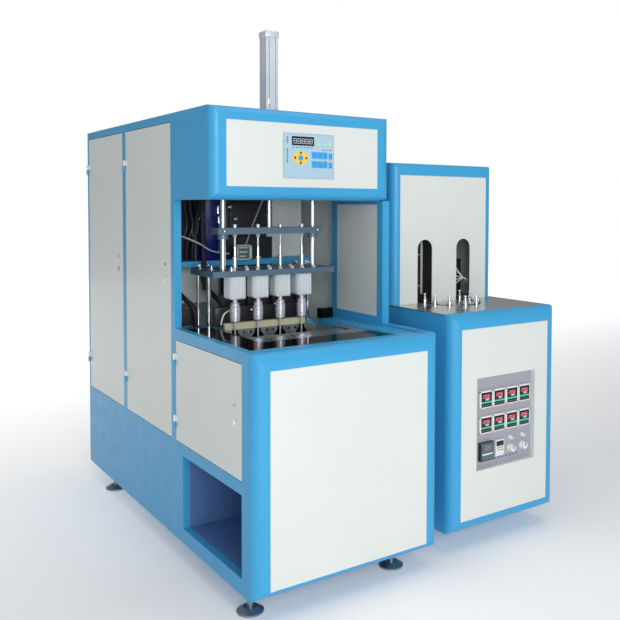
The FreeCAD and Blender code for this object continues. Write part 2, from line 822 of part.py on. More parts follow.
def mould_half(name, turn):
    """Half a mould with four half-bottle cavities in the face away from its back."""
    tall = "mould_top - bed_top"
    half = body(name, turn)
    flat = sketch(half, name + "_outline")
    rectangle(flat, "0", "0", "2 * mould_half_width", tall)
    pad(half, name + "_block", flat, "mould_depth")
    doc.recompute()
    profile = sketch(half, name + "_bottle", "mould_depth", "mould_half_width - 1.5 * rod_pitch")
    outline(profile, [
        ("0", f"{tall} - bottle_bottom_drop"), ("bottle_radius", f"{tall} - bottle_bottom_drop"),
        ("bottle_radius", f"{tall} - shoulder_drop"), ("neck_radius", f"{tall} - neck_height"),
        ("neck_radius", f"{tall} + 1"), ("0", f"{tall} + 1")])
    groove = half.newObject("PartDesign::Groove", name + "_cavity")
    groove.Profile = profile
    groove.ReferenceAxis = (profile, ["V_Axis"])
    groove.Angle = 360
    doc.recompute()
    row = half.newObject("PartDesign::LinearPattern", name + "_cavities")
    row.Originals = [groove]
    row.Direction = (profile, ["H_Axis"])
    row.Occurrences = 4
    bind(row, Length="3 * rod_pitch")
    half.Tip = row
    return half


def mould():
    subpart(mould_half("fixed_mould_half", FRONT), "fixed_mould_half", "centre_x - mould_half_width",
            "mould_back", "bed_top")
    subpart(mould_half("moving_mould_half", BACK), "moving_mould_half", "centre_x + mould_half_width",
            "moving_back", "bed_top + panel_gap")
    subpart(box("neck_bar", "0", "0", "0", "2 * neck_bar_half", "neck_bar_depth", "neck_bar_height"), "neck_bar",
            "centre_x - neck_bar_half", "rod_plane + neck_bar_setback", "mould_top")
    plate_y = "moving_back - moving_platen_wall"
    slab = box("moving_slab", "centre_x - platen_half_width", plate_y, "bed_top + panel_gap",
               "2 * platen_half_width", "moving_platen_wall", "mould_top - bed_top - 20")
    bores = [cylinder(f"slide_bore_{number}", x, f"{plate_y} - 1", z, "tie_bar_radius + running_clearance",
                      "moving_platen_wall + 2", "y") for number, (x, z) in enumerate(tie_bar_places())]
    piston_y = "clamp_front + clamp_cap + 1"
    rod = cylinder("clamp_piston_rod", "centre_x", piston_y, "clamp_height", "clamp_rod",
                   f"{plate_y} - ({piston_y})", "y")
    piston = cylinder("clamp_piston", "centre_x", piston_y, "clamp_height", "clamp_bore - 0.1", "piston_wall", "y")
    subpart(fuse("moving_platen", [cut("bored_slab", slab, bores), rod, piston]), "moving_platen")
    block = box("clamp_block", "centre_x - clamp_square / 2", "clamp_front", "clamp_height - clamp_square / 2",
                "clamp_square", "clamp_end - clamp_front", "clamp_square")
    bore = cylinder("clamp_bore_hole", "centre_x", "clamp_front + clamp_cap", "clamp_height", "clamp_bore",
                    "clamp_end - clamp_front - 2 * clamp_cap", "y")
    gland = cylinder("clamp_gland", "centre_x", "clamp_end - clamp_cap - 1", "clamp_height",
                     "clamp_rod + running_clearance", "clamp_cap + 2", "y")
    subpart(cut("clamp_cylinder", block, [bore, gland]), "clamp_cylinder")
    bars = [cylinder(f"tie_bar_{number}", x, "bed_front", z, "tie_bar_radius", "platen_back - bed_front", "y")
            for number, (x, z) in enumerate(tie_bar_places())]
    subpart(group("mould_tie_bars", bars), "mould_tie_bars")


# ---------------------------------------------------------------- blow station

def rod_x(number):
    return f"centre_x + ({number - 1.5}) * rod_pitch"


PLATE_COLUMNS = {
    # name: (x, y, radius, stud radius)
    "thick_left": ("centre_x - thick_reach", "thick_column_y", "thick_column", "stud_radius"),
    "thick_right": ("centre_x + thick_reach", "thick_column_y", "thick_column", "stud_radius"),
    "thin_left": ("centre_x - thin_reach", "thin_column_y", "thin_column", "thin_stud"),
    "thin_right": ("centre_x + thin_reach", "thin_column_y", "thin_column", "thin_stud"),
}


def columns():
    """Four columns that carry the seal plate, and two guide columns from it up to the bridge."""
    bars = []
    for name, (x, y, radius, stud) in PLATE_COLUMNS.items():
        bars.append(fuse(f"{name}_column", [
            cylinder(f"{name}_shaft", x, y, "ledge_top", radius, "seal_base - ledge_top"),
            cylinder(f"{name}_stud", x, y, "seal_base", stud, "seal_wall + nut_height + 4"),
            hexagon(f"{name}_nut", x, y, "seal_top", f"{stud} * 1.8", "nut_height"),
        ]))
    for side in ("-", "+"):
        name = "left_guide" if side == "-" else "right_guide"
        x = f"centre_x {side} guide_reach"
        bars.append(fuse(f"{name}_column", [
            cylinder(f"{name}_shaft", x, "rod_plane", "seal_top", "guide_radius", "bridge_base - seal_top"),
            cylinder(f"{name}_low_stud", x, "rod_plane", "seal_base", "stud_radius", "seal_wall"),
            cylinder(f"{name}_high_stud", x, "rod_plane", "bridge_base", "stud_radius", "bridge_wall"),
        ]))
    subpart(group("columns", bars), "columns")


def seal_plate():
    """The fixed plate that carries the four seal cylinders, and the bridge plate in the head."""
    holes = [(rod_x(number), "rod_plane", "gland_radius + stud_clearance") for number in range(4)]
    holes += [(x, y, f"{stud} + stud_clearance") for x, y, _, stud in PLATE_COLUMNS.values()]
    guides = [(f"centre_x {side} guide_reach", "rod_plane", "stud_radius + stud_clearance") for side in "-+"]
    thing = plate("seal_plate", FLAT, corners_of("centre_x - seal_half_width", "seal_front",
                                                 "centre_x + seal_half_width", "seal_back"),
                  "seal_wall", round_holes=holes + guides)
    subpart(thing, "seal_plate", z="seal_base")
    bridge = plate("top_bridge", FLAT, corners_of("left_wall", "bridge_front", "right_inside", "bridge_back"),
                   "bridge_wall", round_holes=guides + [("centre_x", "rod_plane",
                                                         "piston_rod_radius + 5 * stud_clearance")])
    subpart(bridge, "top_bridge", z="bridge_base")


def seal_cylinders():
    """Four square cylinders under the seal plate, each with a gland tube up through the plate."""
    units = []
    half = "cylinder_square / 2"
    for number in range(4):
        x = rod_x(number)
        tag = f"seal_{number + 1}"
        shell = fuse(f"{tag}_shell", [
            box(f"{tag}_block", f"{x} - {half}", f"rod_plane - {half}", "cylinder_base", "cylinder_square",
                "cylinder_square", "cylinder_height"),
            cylinder(f"{tag}_gland", x, "rod_plane", "seal_base", "gland_radius", "seal_wall + gland_height"),
            cylinder(f"{tag}_gland_tip", x, "rod_plane", "seal_top + gland_height", "gland_tip_radius",
                     "gland_tip_height"),
        ])
        tools = [
            cylinder(f"{tag}_neck_bore", x, "rod_plane", "cylinder_base - 1", "neck_shaft + running_clearance",
                     "cylinder_height - 9"),
            cylinder(f"{tag}_rod_bore", x, "rod_plane", "cylinder_base", "rod_bore",
                     "seal_top + gland_height + gland_tip_height - cylinder_base + 1"),
        ]
        for step in (-1, 0, 1):
            across = f"{x} + ({step * 22}) - groove / 2"
            along = f"rod_plane + ({step * 22}) - groove / 2"
            tools += [
                box(f"{tag}_front_groove_{step + 1}", across, f"rod_plane - {half} - 1", "cylinder_base - 1",
                    "groove", "groove", "cylinder_height + 1 - groove"),
                box(f"{tag}_left_groove_{step + 1}", f"{x} - {half} - 1", along, "cylinder_base - 1",
                    "groove", "groove", "cylinder_height + 1 - groove"),
            ]
        units.append(cut(f"{tag}_cylinder", shell, tools))
    subpart(group("seal_cylinders", units), "seal_cylinders")


def blow_nozzles():
    """Four hollow nozzles that press down on the bottle necks."""
    for number in range(4):
        x = rod_x(number)
        tag = f"blow_nozzle_{number + 1}"
        nose_top = "nozzle_bottom + nozzle_nose"
        cap_base = "nozzle_top - nozzle_cap"
        shell = fuse(f"{tag}_shell", [
            cylinder(f"{tag}_shaft", x, "rod_plane", "nozzle_top", "neck_shaft", "neck_shaft_length"),
            cylinder(f"{tag}_cap", x, "rod_plane", cap_base, "nozzle_cap_radius", "nozzle_cap"),
            cylinder(f"{tag}_barrel", x, "rod_plane", nose_top, "nozzle_radius", f"{cap_base} - ({nose_top})"),
            cone(f"{tag}_nose", x, "rod_plane", "nozzle_bottom", "nozzle_radius * 0.8", "nozzle_radius",
                 "nozzle_nose"),
        ])
        bore = cylinder(f"{tag}_bore", x, "rod_plane", "nozzle_bottom - 1", "rod_bore",
                        "nozzle_top + neck_shaft_length - nozzle_bottom + 2")
        subpart(cut(tag, shell, [bore]), tag)


def stretch_unit():
    """The moving plate with its collars, the four stretch rods and the piston rod that lifts it."""
    slab = box("stretch_slab", "centre_x - stretch_half_width", "stretch_front", "stretch_base",
               "2 * stretch_half_width", "stretch_back - stretch_front", "stretch_wall")
    collars = []
    holes = []
    for side in "-+":
        x = f"centre_x {side} guide_reach"
        name = "left" if side == "-" else "right"
        collars.append(cylinder(f"{name}_collar", x, "rod_plane", "stretch_base - collar_height", "collar_radius",
                                "collar_height"))
        holes.append(cylinder(f"{name}_slide_bore", x, "rod_plane", "stretch_base - collar_height - 1",
                              "guide_radius + running_clearance", "stretch_wall + collar_height + 2"))
    rods = []
    for number in range(4):
        x = rod_x(number)
        tag = f"stretch_rod_{number + 1}"
        holes.append(cylinder(f"{tag}_hole", x, "rod_plane", "stretch_base - 1", "rod_radius + stud_clearance",
                              "stretch_wall + 2"))
        rods.append(fuse(tag, [
            cylinder(f"{tag}_shaft", x, "rod_plane", "rod_tip", "rod_radius", "stretch_top - rod_tip"),
            cylinder(f"{tag}_dome_nut", x, "rod_plane", "stretch_top", "rod_nut_radius", "rod_nut_height"),
            hexagon(f"{tag}_low_nut", x, "rod_plane", "stretch_base - rod_nut_height", "rod_nut_radius",
                    "rod_nut_height"),
        ]))
    holes.append(cylinder("piston_rod_hole", "centre_x", "rod_plane", "stretch_base - 1",
                          "stud_radius + stud_clearance", "stretch_wall + 2"))
    subpart(cut("stretch_plate", fuse("stretch_block", [slab] + collars), holes), "stretch_plate")
    subpart(group("stretch_rods", rods), "stretch_rods")
    subpart(fuse("piston_rod", [
        cylinder("piston_stud", "centre_x", "rod_plane", "stretch_base - rod_nut_height", "stud_radius",
                 "stretch_wall + rod_nut_height"),
        hexagon("piston_nut", "centre_x", "rod_plane", "stretch_base - rod_nut_height", "nut_radius",
                "rod_nut_height"),
        cylinder("piston_shaft", "centre_x", "rod_plane", "stretch_top", "piston_rod_radius",
                 "piston_start - stretch_top"),
        cylinder("piston_head", "centre_x", "rod_plane", "piston_start", "piston_radius", "piston_wall"),
    ]), "piston_rod")


def stretch_cylinder():
    """The tall square cylinder on the bridge, through the roof, that moves the stretch plate."""
    def square(name, side, low, height):
        return box(name, f"centre_x - {side} / 2", f"rod_plane - {side} / 2", low, side, side, height)

    bore_base = "bridge_top + cylinder_low_cap"
    bore_height = "cylinder_top - cylinder_high_cap - bridge_top - cylinder_low_cap"
    shell = fuse("stretch_barrel", [
        square("low_cap", "cylinder_cap_side", "bridge_top", "cylinder_low_cap"),
        square("profile", "cylinder_side", bore_base, bore_height),
        square("high_cap", "cylinder_cap_side", "cylinder_top - cylinder_high_cap", "cylinder_high_cap"),
    ])
    subpart(cut("stretch_cylinder", shell, [
        cylinder("stretch_bore", "centre_x", "rod_plane", bore_base, "cylinder_bore", bore_height),
        cylinder("stretch_gland", "centre_x", "rod_plane", "bridge_top - 1",
                 "piston_rod_radius + running_clearance", "cylinder_low_cap + 2"),
    ]), "stretch_cylinder")


# ---------------------------------------------------------------- behind the blow station

def tube(points, radius):
    """A tube along straight runs joined by tangent arcs, as wide as each pair of runs allows."""
    edges = []
    start = points[0]
    for before, corner, after in zip(points, points[1:], points[2:]):
        inward, outward = before - corner, after - corner
        turn = math.pi - inward.getAngle(outward)
        reach = 0.45 * min(inward.Length, outward.Length)
        inward.normalize()
        outward.normalize()
        entry, leave = corner + inward * reach, corner + outward * reach
        bisector = inward + outward
        bisector.normalize()
        bend = reach / math.tan(turn / 2)
        middle = corner + bisector * (math.hypot(bend, reach) - bend)
        edges += [Part.LineSegment(start, entry).toShape(), Part.Arc(entry, middle, leave).toShape()]
        start = leave
    edges.append(Part.LineSegment(start, points[-1]).toShape())
    path = Part.Wire(edges)
    ring = Part.Wire(Part.makeCircle(radius, points[0], points[1] - points[0]))
    return path.makePipeShell([ring], True, False)


def hoses():
    """Thick black air hoses held at both ends: from the tank shelf to the ledge and the head."""
    shelf = size("shelf_top")
    under = shelf - size("shelf_wall")
    ledge = size("table_height") - size("table_drop") - size("black_wall")
    bridge = size("bridge_top") - size("bridge_wall")
    left = size("left_wall")
    ledge_y = size("ledge_back") - 28
    shelf_y = size("shelf_front") + 20
    bridge_y = size("bridge_back") - 24
    routes = []
    for top_x, foot_x in ((left + 40, left + 114), (left + 190, left + 252)):
        routes.append([Vector(top_x, shelf_y, under), Vector(top_x, shelf_y, under - 80),
                       Vector(foot_x, ledge_y, ledge + 80), Vector(foot_x, ledge_y, ledge)])
    head_x = left + 156
    routes.append([Vector(head_x, bridge_y, bridge), Vector(head_x, bridge_y, bridge - 120),
                   Vector(head_x, shelf_y, bridge - 400), Vector(head_x, shelf_y, shelf)])
    held = doc.addObject("Part::Feature", "air_hoses")
    held.Shape = Part.makeCompound([tube(route, size("hose_radius")) for route in routes])
    subpart(held, "air_hoses")


def shelf_goods():
    """The shelf across the machine with an air tank and a valve box, and a stop block on the rim."""
    subpart(box("cross_shelf", "0", "0", "0", "right_inside - left_wall", "shelf_depth", "shelf_wall"),
            "cross_shelf", "left_wall", "shelf_front", "shelf_top - shelf_wall")
    x, y = "tank_centre_x", "tank_centre_y"
    tank_base = "shelf_top + tank_foot"

    def dome(name, z):
        cap = doc.addObject("Part::Ellipsoid", name)
        bind(cap, Radius1="tank_dome", Radius2="tank_radius", Radius3="tank_radius")
        return place(cap, x, y, z)

    subpart(fuse("air_tank", [
        cylinder("tank_skirt", x, y, "shelf_top", "tank_radius * 0.75", "tank_foot + tank_dome"),
        cylinder("tank_barrel", x, y, f"{tank_base} + tank_dome", "tank_radius", "tank_height"),
        dome("tank_low_dome", f"{tank_base} + tank_dome"),
        dome("tank_high_dome", f"{tank_base} + tank_dome + tank_height"),
    ]), "air_tank")
    subpart(fuse("valve_box", [
        box("valve_case", "box_left", "box_front", "shelf_top + box_foot", "box_width", "box_depth", "box_height"),
        box("valve_bracket", "box_left - 6", "box_front", "shelf_top", "box_width + 12", "box_depth + 20",
            "box_foot"),
    ]), "valve_box")
    subpart(box("stop_block", "0", "0", "0", "block_width", "block_depth", "block_height"), "stop_block",
            "block_left", "block_front", "rim_top")


# ---------------------------------------------------------------- oven

def oven_casing():
    shell_depth = "oven_back - oven_shell_front"
    outer = box("oven_outer", "oven_left", "oven_shell_front", "foot_height", "oven_width", shell_depth,
                "oven_table_base - foot_height")
    inner = box("oven_inner", "oven_left + sheet_wall", "oven_shell_front - 1", "foot_height + sheet_wall",
                "oven_width - 2 * sheet_wall", f"{shell_depth} - sheet_wall + 1", "oven_table_height")
    subpart(cut("oven_cabinet", outer, [inner]), "oven_cabinet")
    bezel("oven_bezel", "oven_left", "oven_front", "foot_height", "oven_width", "oven_bezel_depth",
          "oven_table_height - foot_height", "bezel_round",
          ("oven_left + oven_border", "foot_height + oven_foot_border", "oven_right - oven_border",
           "oven_table_height - oven_top_border"))
    left, low = "(oven_left + oven_border)", "(foot_height + oven_foot_border)"
    right, high = "(oven_right - oven_border)", "(oven_table_height - oven_top_border)"
    face = box("oven_panel_face", f"{left} + panel_gap", "oven_front + panel_inset", f"{low} + panel_gap",
               f"{right} - {left} - 2 * panel_gap", "panel_wall", f"{high} - {low} - 2 * panel_gap")
    jambs = box("oven_jambs", "control_left - jamb_wall", "oven_front + panel_inset", "control_base - jamb_wall",
                "control_width + 2 * jamb_wall", "control_recess - panel_inset", "control_height + 2 * jamb_wall")
    window = box("control_window", "control_left", "oven_front - 1", "control_base", "control_width",
                 "control_recess + 2", "control_height")
    subpart(cut("oven_panel", fuse("oven_panel_sheets", [face, jambs]), [window]), "oven_panel")


def arch(name, x):
    """A tall arched slot cutter that starts at the table."""
    spring = "slot_top - slot_width / 2"
    return [
        box(f"{name}_legs", f"{x} - slot_width / 2", "tower_front - 1", "oven_table_height - 1", "slot_width",
            "panel_wall + panel_inset + 2", f"{spring} - oven_table_height + 1"),
        cylinder(f"{name}_crown", x, "tower_front - 1", spring, "slot_width / 2", "panel_wall + panel_inset + 2",
                 "y"),
    ]


def tower():
    shell_depth = "oven_back - tower_shell_front"
    tall = "tower_height - oven_table_height"
    outer = box("tower_outer", "tower_left", "tower_shell_front", "oven_table_height", "tower_width", shell_depth,
                tall)
    inner = box("tower_inner", "tower_left + sheet_wall", "tower_shell_front - 1", "oven_table_height - 1",
                "tower_width - 2 * sheet_wall", f"{shell_depth} - sheet_wall + 1", f"{tall} - sheet_wall + 1")
    subpart(cut("tower_shell", outer, [inner]), "tower_shell")
    right = "(tower_left + tower_width)"
    bezel("tower_bezel", "tower_left", "tower_front", "oven_table_height", "tower_width", "tower_bezel_depth",
          tall, "tower_bezel_round", ("tower_left + tower_border", "oven_table_height - 1",
                                      f"{right} - tower_border", "tower_height - oven_border"), open_base=True)
    sheet_face = box("tower_face", "tower_left + tower_border + panel_gap", "tower_front + panel_inset",
                     "oven_table_height", "tower_width - 2 * tower_border - 2 * panel_gap", "panel_wall",
                     f"{tall} - oven_border - panel_gap")
    slots = arch("left_arch", "track_centre_x - track_radius") + arch("right_arch", "track_centre_x + track_radius")
    subpart(cut("tower_panel", sheet_face, slots), "tower_panel")


def straight_length():
    """Length of the track's two straight legs: what the spindles' pitch leaves after its two bends."""
    return (size("spindle_count") * size("spindle_pitch") - math.tau * size("track_radius")) / 2


def oval(name, half_width, low, height):
    """A solid oval, straight along Y, as wide either side of the track's line as half_width."""
    radius = f"track_radius + ({half_width})"
    back = "track_centre_y + track_straight"
    return fuse(name, [
        cylinder(f"{name}_front", "track_centre_x", "track_centre_y", low, radius, height),
        cylinder(f"{name}_back", "track_centre_x", back, low, radius, height),
        box(f"{name}_middle", f"track_centre_x - ({radius})", "track_centre_y", low, f"2 * ({radius})",
            "track_straight", height),
    ])


def oval_ring(name, half_width, low, height):
    """A band that follows the track, half_width either side of its line."""
    return cut(name, oval(f"{name}_outside", half_width, low, height),
               [oval(f"{name}_inside", f"-{half_width}", f"{low} - 1", f"{height} + 2")])


def oven_table():
    """The oven's table with the oval channel under it that the spindles travel along."""
    top = box("table_sheet", "oven_left", "oven_shell_front", "oven_table_base", "oven_width",
              "oven_back - oven_shell_front", "oven_table_wall")
    channel_base = "oven_table_base - track_depth"
    channel = oval_ring("channel", "track_channel / 2", channel_base, "track_depth")
    trough = oval_ring("trough", "track_channel / 2 - door_skin", f"{channel_base} + track_floor",
                       "track_depth - track_floor")
    slot = oval_ring("slot", "track_slot / 2", "oven_table_base - 1", "oven_table_wall + 2")
    subpart(cut("oven_table", fuse("table_and_channel", [top, channel]), [trough, slot]), "oven_table")


def track_point(distance):
    """The place on the oval track at a distance along it, from the left leg's front end."""
    radius = size("track_radius")
    x = size("blow_width") + size("unit_gap") + size("tower_width") / 2
    y = size("track_centre_y")
    straight = straight_length()
    bend = math.pi * radius
    if distance < bend:
        angle = math.pi + distance / radius
        return Vector(x + radius * math.cos(angle), y + radius * math.sin(angle), 0)
    if distance < bend + straight:
        return Vector(x + radius, y + distance - bend, 0)
    if distance < 2 * bend + straight:
        angle = (distance - bend - straight) / radius
        return Vector(x + radius * math.cos(angle), y + straight + radius * math.sin(angle), 0)
    return Vector(x - radius, y + straight - (distance - 2 * bend - straight), 0)


def spindles():
    """Spindles that carry the bottle preforms: a foot in the channel, a shaft and a bullet head."""
    floor = size("oven_table_height") - size("oven_table_wall") - size("track_depth") + size("track_floor")
    head = size("oven_table_height") + 4
    base, shaft = size("spindle_base_radius"), size("spindle_radius")
    wide, tip = size("spindle_head_radius"), size("spindle_tip_radius")
    low = floor + size("spindle_base_height")
    shoulder = head + size("spindle_head")
    profile = [(0, floor), (base, floor), (base, low), (shaft, low), (shaft, head), (wide, head),
               (wide, shoulder), (tip, shoulder + size("spindle_tip")), (0, shoulder + size("spindle_tip") + 2)]
    ring = Part.makePolygon([Vector(r, 0, z) for r, z in profile + profile[:1]])
    spindle = Part.Face(ring).revolve(Vector(0, 0, 0), Vector(0, 0, 1), 360)
    start = size("spindle_pitch") * 0.14
    copies = []
    for number in range(int(size("spindle_count"))):
        copy = spindle.copy()
        copy.translate(track_point(start + number * size("spindle_pitch")))
        copies.append(copy)
    row = doc.addObject("Part::Feature", "spindles")
    row.Shape = Part.makeCompound(copies)
    subpart(row, "spindles")


def lamp_bank():
    """Infra-red lamp tubes in two racks that stand on the table between the track's legs."""
    pieces = []
    for side, direction in (("left", "-"), ("right", "+")):
        x = f"track_centre_x {direction} lamp_half_gap"
        for end, y in (("front", "lamp_front"), ("back", "lamp_front + lamp_length")):
            pieces.append(box(f"{side}_{end}_holder", f"{x} - lamp_holder / 2", y, "oven_table_height",
                              "lamp_holder", "lamp_holder",
                              "lamp_base + lamp_rows * lamp_pitch - oven_table_height"))
        for row in range(int(size("lamp_rows"))):
            pieces.append(cylinder(f"{side}_lamp_{row}", x, "lamp_front + lamp_holder / 2",
                                   f"lamp_base + {row} * lamp_pitch", "lamp_radius", "lamp_length", "y"))
    pieces.append(box("reflector", "track_centre_x - lamp_stand_wall / 2", "lamp_front", "oven_table_height",
                      "lamp_stand_wall", "lamp_length + lamp_holder",
                      "lamp_base + lamp_rows * lamp_pitch - oven_table_height"))
    pieces.append(box("reflector_tie", "track_centre_x - lamp_half_gap", "lamp_front + lamp_length / 2",
                      "lamp_base + lamp_rows * lamp_pitch - 2 * lamp_holder", "2 * lamp_half_gap", "lamp_holder",
                      "lamp_holder"))
    for end, y in (("front", "lamp_front"), ("back", "lamp_front + lamp_length")):
        pieces.append(box(f"{end}_tie", "track_centre_x - lamp_half_gap", y, "oven_table_height",
                          "2 * lamp_half_gap", "lamp_holder", "lamp_holder"))
    subpart(fuse("lamp_bank", pieces), "lamp_bank")


def controls():
    """The recessed control plate with temperature controllers, meter, counter and knobs."""
    knobs = {
        "large_knob_1": ("knob_one_x", "large_knob_z", "large_knob_radius", "large_knob_height"),
        "large_knob_2": ("knob_two_x", "large_knob_z", "large_knob_radius", "large_knob_height"),
        "small_knob_1": ("knob_one_x", "small_knob_z", "small_knob_radius", "small_knob_height"),
        "small_knob_2": ("knob_two_x", "small_knob_z", "small_knob_radius", "small_knob_height"),
    }
    back_plate = plate("control_plate", FRONT, corners_of("-jamb_wall", "-jamb_wall", "control_width + jamb_wall",
                                                          "control_height + jamb_wall"), "control_wall",
                       round_holes=[(f"{x} - control_left", f"{z} - control_base",
                                     "knob_shaft + running_clearance") for x, z, _, _ in knobs.values()])
    subpart(back_plate, "control_plate", "control_left", "control_face + control_wall", "control_base")
    units = []
    for row, z in enumerate(("controller_low", "controller_high")):
        for column in range(4):
            units.append(box(f"controller_{row}_{column}", f"controller_left + {column} * controller_pitch",
                             "control_face - controller_depth", z, "controller_side", "controller_depth",
                             "controller_height"))
    subpart(group("temperature_controllers", units), "temperature_controllers")
    subpart(group("meter_and_counter", [
        box("meter", "meter_left", "control_face - meter_depth", "meter_base", "meter_width", "meter_depth",
            "meter_height"),
        box("counter", "counter_left", "control_face - controller_depth", "counter_base", "counter_width",
            "controller_depth", "counter_height"),
    ]), "meter_and_counter")
    for label, (x, z, radius, height) in knobs.items():
        front = f"control_face - knob_stand - {height}"
        cap = cylinder(f"{label}_cap", x, front, z, radius, height, "y")
        shaft = cylinder(f"{label}_shaft", x, front, z, "knob_shaft", f"{height} + knob_stand + control_wall + 6",
                         "y")
        nut = cylinder(f"{label}_nut", x, "control_face + control_wall + knob_stand", z, "knob_shaft * 2", "4", "y")
        subpart(fuse(label, [cap, shaft, nut]), label)


base_frame()
left_side_frame()
doors()
right_side()
casing()
feet()
table()
mould()
columns()
seal_plate()
seal_cylinders()
blow_nozzles()
stretch_unit()
stretch_cylinder()
hoses()
shelf_goods()
oven_casing()
tower()
oven_table()
spindles()
lamp_bank()
controls()
doc.recompute()

# ---------------------------------------------------------------- checks and files

for thing in doc.Objects:
    if "Invalid" in thing.State or "Error" in thing.State:
        raise RuntimeError(f"{thing.Name} failed: {thing.State}")
for label, thing in subparts.items():
    if thing.Shape.isNull() or not thing.Shape.isValid() or not thing.Shape.Solids:
        raise RuntimeError(f"{label} has no valid solid")

os.makedirs("parts", exist_ok=True)
for label, thing in subparts.items():
    thing.Shape.exportStep(f"parts/{label}.step")
print(len(subparts), "sub-parts")
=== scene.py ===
"""Looks for the bottle blow moulding machine: materials, fittings and small parts on its CAD frame.
"""
import json
import math

import bmesh
import bpy
from mathutils import Matrix, Vector


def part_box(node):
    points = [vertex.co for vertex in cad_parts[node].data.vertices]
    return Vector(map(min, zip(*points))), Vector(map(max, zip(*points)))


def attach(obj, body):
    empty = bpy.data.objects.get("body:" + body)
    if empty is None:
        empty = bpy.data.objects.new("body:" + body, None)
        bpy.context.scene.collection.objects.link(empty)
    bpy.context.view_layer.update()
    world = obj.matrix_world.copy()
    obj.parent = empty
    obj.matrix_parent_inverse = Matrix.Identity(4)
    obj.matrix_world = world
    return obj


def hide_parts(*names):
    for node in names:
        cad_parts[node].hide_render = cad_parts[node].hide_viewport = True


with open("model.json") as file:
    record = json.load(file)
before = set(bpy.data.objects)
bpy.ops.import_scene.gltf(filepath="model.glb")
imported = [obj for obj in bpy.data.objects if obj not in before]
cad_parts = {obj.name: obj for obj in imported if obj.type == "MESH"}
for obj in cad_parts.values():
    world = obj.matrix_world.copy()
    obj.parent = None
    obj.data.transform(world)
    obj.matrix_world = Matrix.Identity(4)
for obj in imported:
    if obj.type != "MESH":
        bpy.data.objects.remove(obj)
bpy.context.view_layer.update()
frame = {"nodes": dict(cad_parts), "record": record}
MACHINE = "machine"

# ---------------------------------------------------------------- camera, light and floor

CAMERA_AT = Vector((-2.0217, -3.4534, 1.4864))
CAMERA_YAW = math.radians(36.04)
CAMERA_PITCH = math.radians(-2.241)
CAMERA_ROLL = math.radians(0.268)
CAMERA_LENS = 46.27
CAMERA_SHIFT = (-0.1212, -0.1185)
SKY_LIGHT = 0.30
FRONT_LIGHT = 165
LEFT_LIGHT = 8
TOP_LIGHT = 60
FLOOR_REACH = 12
FLOOR_SPAN = (-0.5, 4.5)
FLOOR_GLOW = (0.14, 0.85)
NOISE_SPAN = (0.3, 0.7)


def camera():
    ahead = Vector((math.sin(CAMERA_YAW) * math.cos(CAMERA_PITCH),
                    math.cos(CAMERA_YAW) * math.cos(CAMERA_PITCH), math.sin(CAMERA_PITCH)))
    level = Vector((math.cos(CAMERA_YAW), -math.sin(CAMERA_YAW), 0))
    above = level.cross(ahead)
    right = level * math.cos(CAMERA_ROLL) + above * math.sin(CAMERA_ROLL)
    up = above * math.cos(CAMERA_ROLL) - level * math.sin(CAMERA_ROLL)
    facing = Matrix((right, up, -ahead)).transposed().to_4x4()
    data = bpy.data.cameras.new("camera")
    data.lens = CAMERA_LENS
    data.shift_x, data.shift_y = CAMERA_SHIFT
    eye = bpy.data.objects.new("camera", data)
    eye.matrix_world = Matrix.Translation(CAMERA_AT) @ facing
    bpy.context.collection.objects.link(eye)
    bpy.context.scene.camera = eye


def soft_light(name, place, aim, size, power):
    data = bpy.data.lights.new(name, "AREA")
    data.shape = "RECTANGLE"
    data.size, data.size_y = size
    data.energy = power
    lamp = bpy.data.objects.new(name, data)
    lamp.location = place
    lamp.rotation_euler = (Vector(aim) - Vector(place)).to_track_quat("-Z", "Y").to_euler()
    bpy.context.collection.objects.link(lamp)


def studio():
    """A pale floor, a pale sky and three soft lamps: front left, far left and above."""
    scene = bpy.context.scene
    scene.view_settings.view_transform = "Standard"
    world = bpy.data.worlds.new("studio")
    world.use_nodes = True
    tree = world.node_tree
    sky = tree.nodes["Background"]
    sky.inputs["Color"].default_value = (0.95, 0.97, 1.0, 1)
    sky.inputs["Strength"].default_value = SKY_LIGHT
    backdrop = tree.nodes.new("ShaderNodeBackground")
    backdrop.inputs["Color"].default_value = (1, 1, 1, 1)
    seen = tree.nodes.new("ShaderNodeLightPath")
    either = tree.nodes.new("ShaderNodeMixShader")
    tree.links.new(seen.outputs["Is Camera Ray"], either.inputs["Fac"])
    tree.links.new(sky.outputs[0], either.inputs[1])
    tree.links.new(backdrop.outputs[0], either.inputs[2])
    tree.links.new(either.outputs[0], tree.nodes["World Output"].inputs["Surface"])
    scene.world = world
    soft_light("front_lamp", (-1.7, -5.6, 2.0), (-0.2, 0, 0.9), (3.6, 2.6), FRONT_LIGHT)
    soft_light("left_lamp", (-5.0, -1.5, 3.0), (-0.2, 0.2, 1.0), (2.5, 2.5), LEFT_LIGHT)
    soft_light("top_lamp", (0.0, -1.0, 5.0), (0, 0, 1.0), (4.0, 4.0), TOP_LIGHT)
    mesh = bpy.data.meshes.new("floor")
    corners = [(x * FLOOR_REACH, y * FLOOR_REACH, 0) for x, y in ((-1, -1), (1, -1), (1, 1), (-1, 1))]
    mesh.from_pydata(corners, [], [(0, 1, 2, 3)])
    floor = bpy.data.objects.new("floor", mesh)
    bpy.context.collection.objects.link(floor)
    floor.data.materials.append(plain_floor())


# ---------------------------------------------------------------- materials

